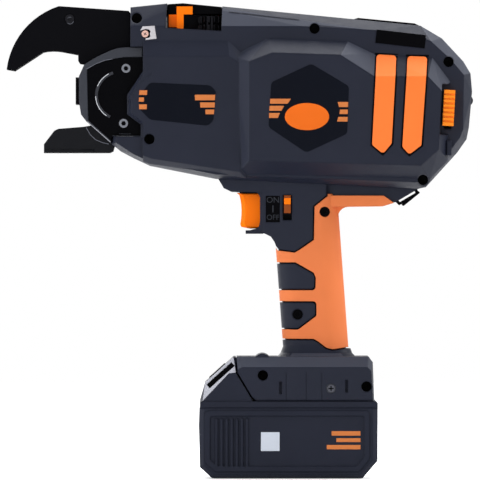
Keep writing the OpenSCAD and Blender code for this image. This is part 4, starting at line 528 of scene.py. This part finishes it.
def switch_trim():
    """Lip of the trigger's pocket, black rims over the trigger as painted shade under the body, and painted
    shade in the hollows and at the sides of the on/off slide.
    """
    plate("trigger_lip", TRIGGER_LIP, *layer(SWITCH_BLOCK_Y, 0.4, inner=-0.6), SLATE, edge=0.2)
    group("trigger_pocket_shade", [plate("rim", box_outline(*TRIGGER_SHADE_RIM), back, face, BLACK_AND_SHADE)
                             for back, face in TRIGGER_SHADE_RIMS_Y])
    slide_y = lying_on("power_slide")(*(c / MM for c in side(*SLIDE_MIDDLE)))
    on_slide = layer(slide_y, 0.06)
    group("slide_shades", [plate("hollow", box_outline(*hollow), *on_slide, finish, "power_slide")
                            for hollow, finish in SLIDE_SHADES])


def strap_and_screw_trim():
    """Sleeve on the belt eye, and rings round two screws as painted highlights."""
    on_foot, on_jaw = layer(FOOT_SCREW_Y, 0.1), layer(JAW_SCREW_Y, 0.15)
    plate("strap_sleeve", STRAP_SLEEVE, *STRAP_SLEEVE_Y, BLACK_AND_SHADE, edge=0.4)
    # The foot screw's ring takes the nose rim's grey as a painted highlight
    ring("foot_screw_edge", FOOT_RING_MIDDLE, FOOT_RING_RADIUS, FOOT_RING_WIDE, *on_foot, NOSE_RIM)
    ring("jaw_screw_edge", JAW_RING_MIDDLE, JAW_RING_RADIUS, JAW_RING_WIDE, *on_jaw, EDGE_HIGHLIGHT)


# Trim of the rear and the top, in the same units; the rear strip is in millimetres along and across its seat

REAR_STRIP_X, REAR_STRIP_DROP, REAR_STRIP_TURN = 71, 6.5, math.radians(6.5)
REAR_STRIP = ((-15.7, 2.1), (15.2, 2.1), (15.2, -6.2), (-15.7, -6.2))
REAR_CLIP = (445.4, 140.6, 450.3, 156)
REAR_CLIP_Y = (-28, -33.5)
TOP_STRIP = [(233, 12.6), (301.3, 19.6), (297, 24.4), (233, 22.8)]
TOP_STRIP_LINES = ([(229, 12.3), (240.6, 13.5), (240.6, 14.5), (229, 13.3)],
                   [(241.4, 13.6), (299, 20.2), (299, 21.2), (241.4, 14.6)])
GUIDE_TAB = [(140.8, 31.6), (143.2, 27.4), (154.9, 26.9), (157, 39.7), (146.2, 40.9), (146.1, 39.4),
             (149.4, 38.8), (151, 37.4), (150.2, 34.8), (151, 32.2), (149.4, 30.6), (146, 30.1), (143, 30.9)]
TAB_SHADE_MIDDLE, TAB_SHADE_ACROSS, TAB_SHADE_UP = (146.8, 34.8), 4.6, 4.7
TAB_SCREW_MIDDLE, TAB_SCREW_RADIUS = (145.6, 34.9), 3.5
TAB_SLOTS, TAB_SLOT_WIDE = ((1.5, 1.0), (1.0, -1.5)), 0.7


def rear_trim():
    """Plain strip in the seat on the rear bevel, and the clip beside the latch."""
    along_x, along_z = math.cos(REAR_STRIP_TURN), -math.sin(REAR_STRIP_TURN)
    strip_z = RIDGE_TOP - RIDGE_FALL - REAR_STRIP_DROP
    corners = [(REAR_STRIP_X + along * along_x - up * along_z, strip_z + along * along_z + up * along_x)
               for along, up in REAR_STRIP]
    on_seat = layer(REAR_SEAT_Y, 0.2, inner=-0.2)
    plate("rear_strip", pixels(corners), *on_seat, BLACK_AND_SHADE, corner=0.3)
    plate("rear_clip", box_outline(*REAR_CLIP), *REAR_CLIP_Y, SLATE, corner=0.5, edge=0.3)


def top_bevel(x, z):
    """Depth of the body's long top bevel at a point of the side view."""
    ridge = RIDGE_TOP - RIDGE_FALL * (x - RIDGE_START) / RIDGE_RUN
    return BEVEL_TOP_Y - BEVEL_WIDE * (ridge - z) / (ridge - BEVEL_FOOT)


def top_strip():
    """Plain strip on the top bevel, coloured lighter as a painted highlight, with the dark line along it."""
    strip_thick, line_thick = 0.25, 0.3
    on_side = lying_on("body_left")
    plate("top_strip", TOP_STRIP, top_bevel, strip_thick, SLATE_HIGHLIGHT, corner=0.4)
    group("top_strip_edge", [plate("line", line, on_side, line_thick, SLATE) for line in TOP_STRIP_LINES])


def guide_tab():
    """The small steel tab under the feed window, cut out round its screw; a black patch round the screw is
    painted shade, and a dark cross on the head paints the shaded drive recess.
    """
    tab_thick, shade_thick, head_thick, slot_thick = 0.5, 0.2, 0.9, 0.95
    on_side = lying_on("body_left")
    seat = oval(TAB_SHADE_MIDDLE, TAB_SHADE_ACROSS, TAB_SHADE_UP)
    head = oval(TAB_SCREW_MIDDLE, TAB_SCREW_RADIUS, TAB_SCREW_RADIUS)
    x, y = TAB_SCREW_MIDDLE
    slots = [band([(x - dx, y - dy), (x + dx, y + dy)], TAB_SLOT_WIDE) for dx, dy in TAB_SLOTS]
    plate("guide_tab", GUIDE_TAB, on_side, tab_thick, TAB_STEEL)
    # Black patch round the screw: painted shade between the screw and the tab
    plate("guide_tab_shade", seat, on_side, shade_thick, BLACK_AND_SHADE)
    plate("guide_screw", head, on_side, head_thick, TAB_SCREW, edge=0.2)
    group("guide_screw_cross", [plate("slot", slot, on_side, slot_thick, RIB) for slot in slots])


# Faces of the solids that get another finish, among them painted shade and painted highlights, with the
# stretches they lie in, in millimetres

HANDLE_X, HANDLE_Z, HANDLE_LEAN = 14.8, 118.05, math.radians(4.2)
HANDLE_FLAT_X, HANDLE_FLAT_Y, HANDLE_ROUND = 7.5, 5, 13
GROOVE_Z, GROOVE_DEPTH = (80, 176), (1.2, 2.2)
STRIPE_FRONT_X, STRIPE_INNER_Y, STRIPE_SEAT_REACH = 45, -25, 0.75
FOOT_BEVEL_X, FOOT_BEVEL_INNER_Y, FOOT_BEVEL_Z = (-33, 54), 20, (66.5, 78.5)
HOOD_BACK_X, HOOD_BACK_LOW_Z = (25, 58), 250
LATCH_FRONT_X, LATCH_LOW_Z = 82, 245
TOP_BAND_X, TOP_BAND_LOW_Z = (-46, 36), 283
POD_FRONT_X, POD_FRONT_Z = (-42, -20), (190, 272)
SLIDE_FOOT_Z = 166
NOSE_RIB_INNER_Y = 23.55
TOWER_BEVEL_BACK_X = -32
TOWER_SLOT_X, TOWER_SLOT_Z, TOWER_SLOT_TURN = -44.4, 66.9, math.radians(42)
TOWER_SLOT_HALF, TOWER_SLOT_UP, TOWER_SLOT_Y = 10.6, (-4.7, -1.5), (29.7, 35.9)
NOSE_SCREWS, NOSE_RECESS, NOSE_SCREW_TOP = ((-101.8, 257), (-103.3, 222.5)), 1.6, 23.85
FOOT_SCREWS, FOOT_RECESS, FOOT_SCREW_TOP = ((26.8, 56.3),), 1.9, 35.75


def paint(node, finish, chosen):
    """Gives the chosen faces of a solid another finish."""
    mesh = NODES[node].data
    mesh.materials.append(finish)
    slot = len(mesh.materials) - 1
    for face in mesh.polygons:
        if chosen(face):
            face.material_index = slot


def at(face):
    """The middle of a face in millimetres."""
    return tuple(c / MM for c in face.center)


def within(value, span):
    """True between the two ends of a span."""
    return span[0] < value < span[1]


def in_grip_groove(face):
    """True on the floor of the grooves round the hard patches of the handle, by the depth below its skin;
    these get painted shade.
    """
    x, y, z = at(face)
    along = (x - HANDLE_X) * math.cos(HANDLE_LEAN) + (z - HANDLE_Z) * math.sin(HANDLE_LEAN)
    past_x, past_y = abs(along) - HANDLE_FLAT_X, abs(y) - HANDLE_FLAT_Y
    depth = HANDLE_ROUND - math.hypot(max(past_x, 0), max(past_y, 0)) - min(max(past_x, past_y), 0)
    return within(z, GROOVE_Z) and within(depth, GROOVE_DEPTH)


def in_stripe_seat_shade(face):
    """True in the seats of the stripes, which get painted shade that shows as a dark line round them."""
    x, y, _ = at(face)
    if x < STRIPE_FRONT_X or y > STRIPE_INNER_Y:
        return False
    found, spot, _, _ = NODES["stripe_inserts"].closest_point_on_mesh(face.center)
    return found and (spot - face.center).length < STRIPE_SEAT_REACH * MM


def on_foot_bevel(face):
    """True on the bevel round the top of the foot, which gets a painted highlight."""
    n, (x, y, z) = face.normal, at(face)
    round_top = within(x, FOOT_BEVEL_X) and within(z, FOOT_BEVEL_Z) and abs(y) > FOOT_BEVEL_INNER_Y
    return round_top and n.z > 0.25 and abs(n.y) > 0.15


def on_pod_facet(face):
    """True on the facets behind the pod's hood and above the latch, which get a painted highlight."""
    n, (x, _, z) = face.normal, at(face)
    behind_hood = n.x > 0.2 and within(x, HOOD_BACK_X) and z > HOOD_BACK_LOW_Z
    above_latch = n.x > 0.4 and x > LATCH_FRONT_X and z > LATCH_LOW_Z
    return n.y < -0.3 and n.z > 0.3 and (behind_hood or above_latch)


def on_top_band(face):
    """True on the band between the top strip and the pod, which gets a painted highlight."""
    n, (x, _, z) = face.normal, at(face)
    return n.y < -0.6 and n.z > 0.5 and within(x, TOP_BAND_X) and z > TOP_BAND_LOW_Z


def on_pod_front(face):
    """True on the slopes between the front panel and the pod, which get a painted highlight."""
    n, (x, _, z) = face.normal, at(face)
    return n.y < -0.4 and abs(n.x) > 0.15 and within(x, POD_FRONT_X) and within(z, POD_FRONT_Z)


def on_slide_foot(face):
    """True on the lower end of the on/off slide, which gets painted shade."""
    return face.normal.z < -0.3 and face.center.z < SLIDE_FOOT_Z * MM


def on_nose_rib(face):
    """True on the round rib of a nose plate."""
    return abs(face.center.y) > NOSE_RIB_INNER_Y * MM


def on_tower_bevel(face):
    """True on the bevel of the battery's front, a grey band made paler still as a painted highlight."""
    n = face.normal
    return face.center.x < TOWER_BEVEL_BACK_X * MM and n.x < -0.05 and n.z > 0.1 and 0.25 < abs(n.y) < 0.97


def in_tower_slot(face):
    """True inside the slots in the bevels of the battery's front, which get painted shade."""
    x, y, z = at(face)
    dx, dz = x - TOWER_SLOT_X, z - TOWER_SLOT_Z
    along = dx * math.cos(TOWER_SLOT_TURN) + dz * math.sin(TOWER_SLOT_TURN)
    up = dz * math.cos(TOWER_SLOT_TURN) - dx * math.sin(TOWER_SLOT_TURN)
    return abs(along) < TOWER_SLOT_HALF and within(up, TOWER_SLOT_UP) and within(abs(y), TOWER_SLOT_Y)


def in_recess(face, middles, reach, top):
    """True inside the drive recess of a screw that stands across the split, below its top face."""
    x, y, z = at(face)
    return abs(y) < top and any(math.hypot(x - mx, z - mz) < reach for mx, mz in middles)


def in_nose_screw(face):
    """True inside the recesses of the nose screws, which get painted shade."""
    return in_recess(face, NOSE_SCREWS, NOSE_RECESS, NOSE_SCREW_TOP)


def in_foot_screw(face):
    """True inside the recess of the foot screw, which gets painted shade."""
    return in_recess(face, FOOT_SCREWS, FOOT_RECESS, FOOT_SCREW_TOP)


def painted_faces():
    """Paints the faces of each solid in turn; a later row covers an earlier one."""
    for nodes, finish, chosen in (
            ("nose_screws", BLACK_AND_SHADE, in_nose_screw),
            ("foot_screw", BLACK_AND_SHADE, in_foot_screw),
            ("nose_plate_left nose_plate_right", RIB, on_nose_rib),
            ("body_left body_right", BLACK_AND_SHADE, in_grip_groove),
            ("body_left body_right", SLATE_HIGHLIGHT, on_foot_bevel),
            ("body_left", SLATE_HIGHLIGHT, on_pod_facet),
            ("body_left", SLATE_HIGHLIGHT, on_top_band),
            ("body_left", SLATE_SOFT_HIGHLIGHT, on_pod_front),
            ("body_left", BLACK_AND_SHADE, in_stripe_seat_shade),
            ("power_slide", BLACK_AND_SHADE, on_slide_foot),
            ("battery_cover", TOWER_RIM_AND_HIGHLIGHT, on_tower_bevel),
            ("battery_cover", BLACK_AND_SHADE, in_tower_slot)):
        for node in nodes.split():
            paint(node, finish, chosen)


# Studio, in metres; a lamp is its name, its place, the height that it is aimed at, its size and its power

LAMPS = (("over", (-0.1, 0.26, 1.25), 0.2, (1.6, 0.8), 22),
         ("front", (-0.9, -1.3, 0.6), 0.15, (1.0, 0.9), 7.4),
         ("low_fill", (0.25, -1.7, 0.16), 0.17, (1.5, 0.28), 4.2),
         ("nose_side", (-1.5, -0.3, 0.5), 0.16, (0.7, 0.7), 8),
         ("rear_side", (1.25, -0.1, 0.85), 0.2, (0.8, 0.8), 14),
         ("far_side", (-0.6, 1.4, 0.8), 0.16, (0.9, 0.9), 8))
FLOOR_WIDE, FLOOR_Z = 8, -0.0006
CAMERA_X, CAMERA_AWAY, CAMERA_Z = -0.03024, 6.0, 0.1493
PICTURE_WIDE, SENSOR = 0.3024, 36


def background_rays(tree):
    """One for the rays that see the white surround: the camera's, and those in metal and in glass."""
    path = add_node(tree, "LightPath")
    last = path.outputs["Is Camera Ray"]
    for kind in ("Is Glossy Ray", "Is Transmission Ray"):
        either = add_node(tree, "Math")
        either.operation = "MAXIMUM"
        tree.links.new(last, either.inputs[0])
        tree.links.new(path.outputs[kind], either.inputs[1])
        last = either.outputs["Value"]
    return last


def surround():
    """A white surround that lights the object softly."""
    world = bpy.data.worlds.new("studio")
    bpy.context.scene.world = world
    world.use_nodes = True
    tree = world.node_tree
    tree.nodes.clear()
    white = add_node(tree, "Background", Color=(1, 1, 1, 1), Strength=1.0)
    soft = add_node(tree, "Background", Color=(0.93, 0.96, 1.0, 1), Strength=0.34)
    mix = add_node(tree, "MixShader")
    tree.links.new(background_rays(tree), mix.inputs["Fac"])
    tree.links.new(soft.outputs["Background"], mix.inputs[1])
    tree.links.new(white.outputs["Background"], mix.inputs[2])
    tree.links.new(mix.outputs["Shader"], add_node(tree, "OutputWorld").inputs["Surface"])


def lamps():
    """Soft boxes round the object."""
    for name, place, aim, size, power in LAMPS:
        bpy.ops.object.light_add(type="AREA", location=place)
        lamp = bpy.context.object
        lamp.name = name
        lamp.data.shape = "RECTANGLE"
        lamp.data.size, lamp.data.size_y = size
        lamp.data.energy = power
        lamp.rotation_mode = "QUATERNION"
        lamp.rotation_quaternion = (Vector((0, 0, aim)) - Vector(place)).to_track_quat("-Z", "Y")


def pale_floor():
    """A pale floor just below the object, which keeps its shadow and fades to white."""
    bpy.ops.mesh.primitive_plane_add(size=FLOOR_WIDE, location=(0, 0, FLOOR_Z))
    floor = bpy.context.object
    floor.name = "floor"
    mat, tree, shader, place = new_finish("pale_floor")
    shader.inputs["Base Color"].default_value = (0.86, 0.86, 0.86, 1)
    shader.inputs["Roughness"].default_value = 0.9
    shader.inputs["Specular IOR Level"].default_value = 0.0
    glow = add_node(tree, "Emission")
    tree.links.new(background_rays(tree), glow.inputs["Strength"])
    shrink = add_node(tree, "Mapping", Scale=(0.9, 0.9, 0.9))
    tree.links.new(place, shrink.inputs["Vector"])
    fade = add_node(tree, "TexGradient")
    fade.gradient_type = "SPHERICAL"
    tree.links.new(shrink.outputs["Vector"], fade.inputs["Vector"])
    level = spread(tree, fade.outputs["Fac"], (1, 1, 1, 1), (0.5, 0.5, 0.5, 1), bottom=0.0, top=0.8)
    tree.links.new(level, glow.inputs["Color"])
    both = add_node(tree, "AddShader")
    tree.links.new(shader.outputs["BSDF"], both.inputs[0])
    tree.links.new(glow.outputs["Emission"], both.inputs[1])
    tree.links.new(both.outputs["Shader"], tree.nodes["Material Output"].inputs["Surface"])
    floor.data.materials.append(mat)


def camera():
    """A far camera square to the side, which takes in the picture's width at the object."""
    spot = (CAMERA_X, -CAMERA_AWAY, CAMERA_Z)
    bpy.ops.object.camera_add(location=spot, rotation=(math.radians(90), 0, 0))
    cam = bpy.context.object
    cam.data.sensor_width = SENSOR
    cam.data.lens = SENSOR * CAMERA_AWAY / PICTURE_WIDE
    cam.data.clip_start, cam.data.clip_end = 0.5, 40
    bpy.context.scene.camera = cam


dress_nodes()
front_label()
side_label()
switch_plate()
battery_label()
nose_trim()
stripe_shade_beds()
seam_trim()
switch_trim()
strap_and_screw_trim()
rear_trim()
top_strip()
guide_tab()
painted_faces()
bpy.ops.object.select_all(action="DESELECT")
bpy.context.scene.view_settings.view_transform = "Standard"
surround()
lamps()
pale_floor()
camera()
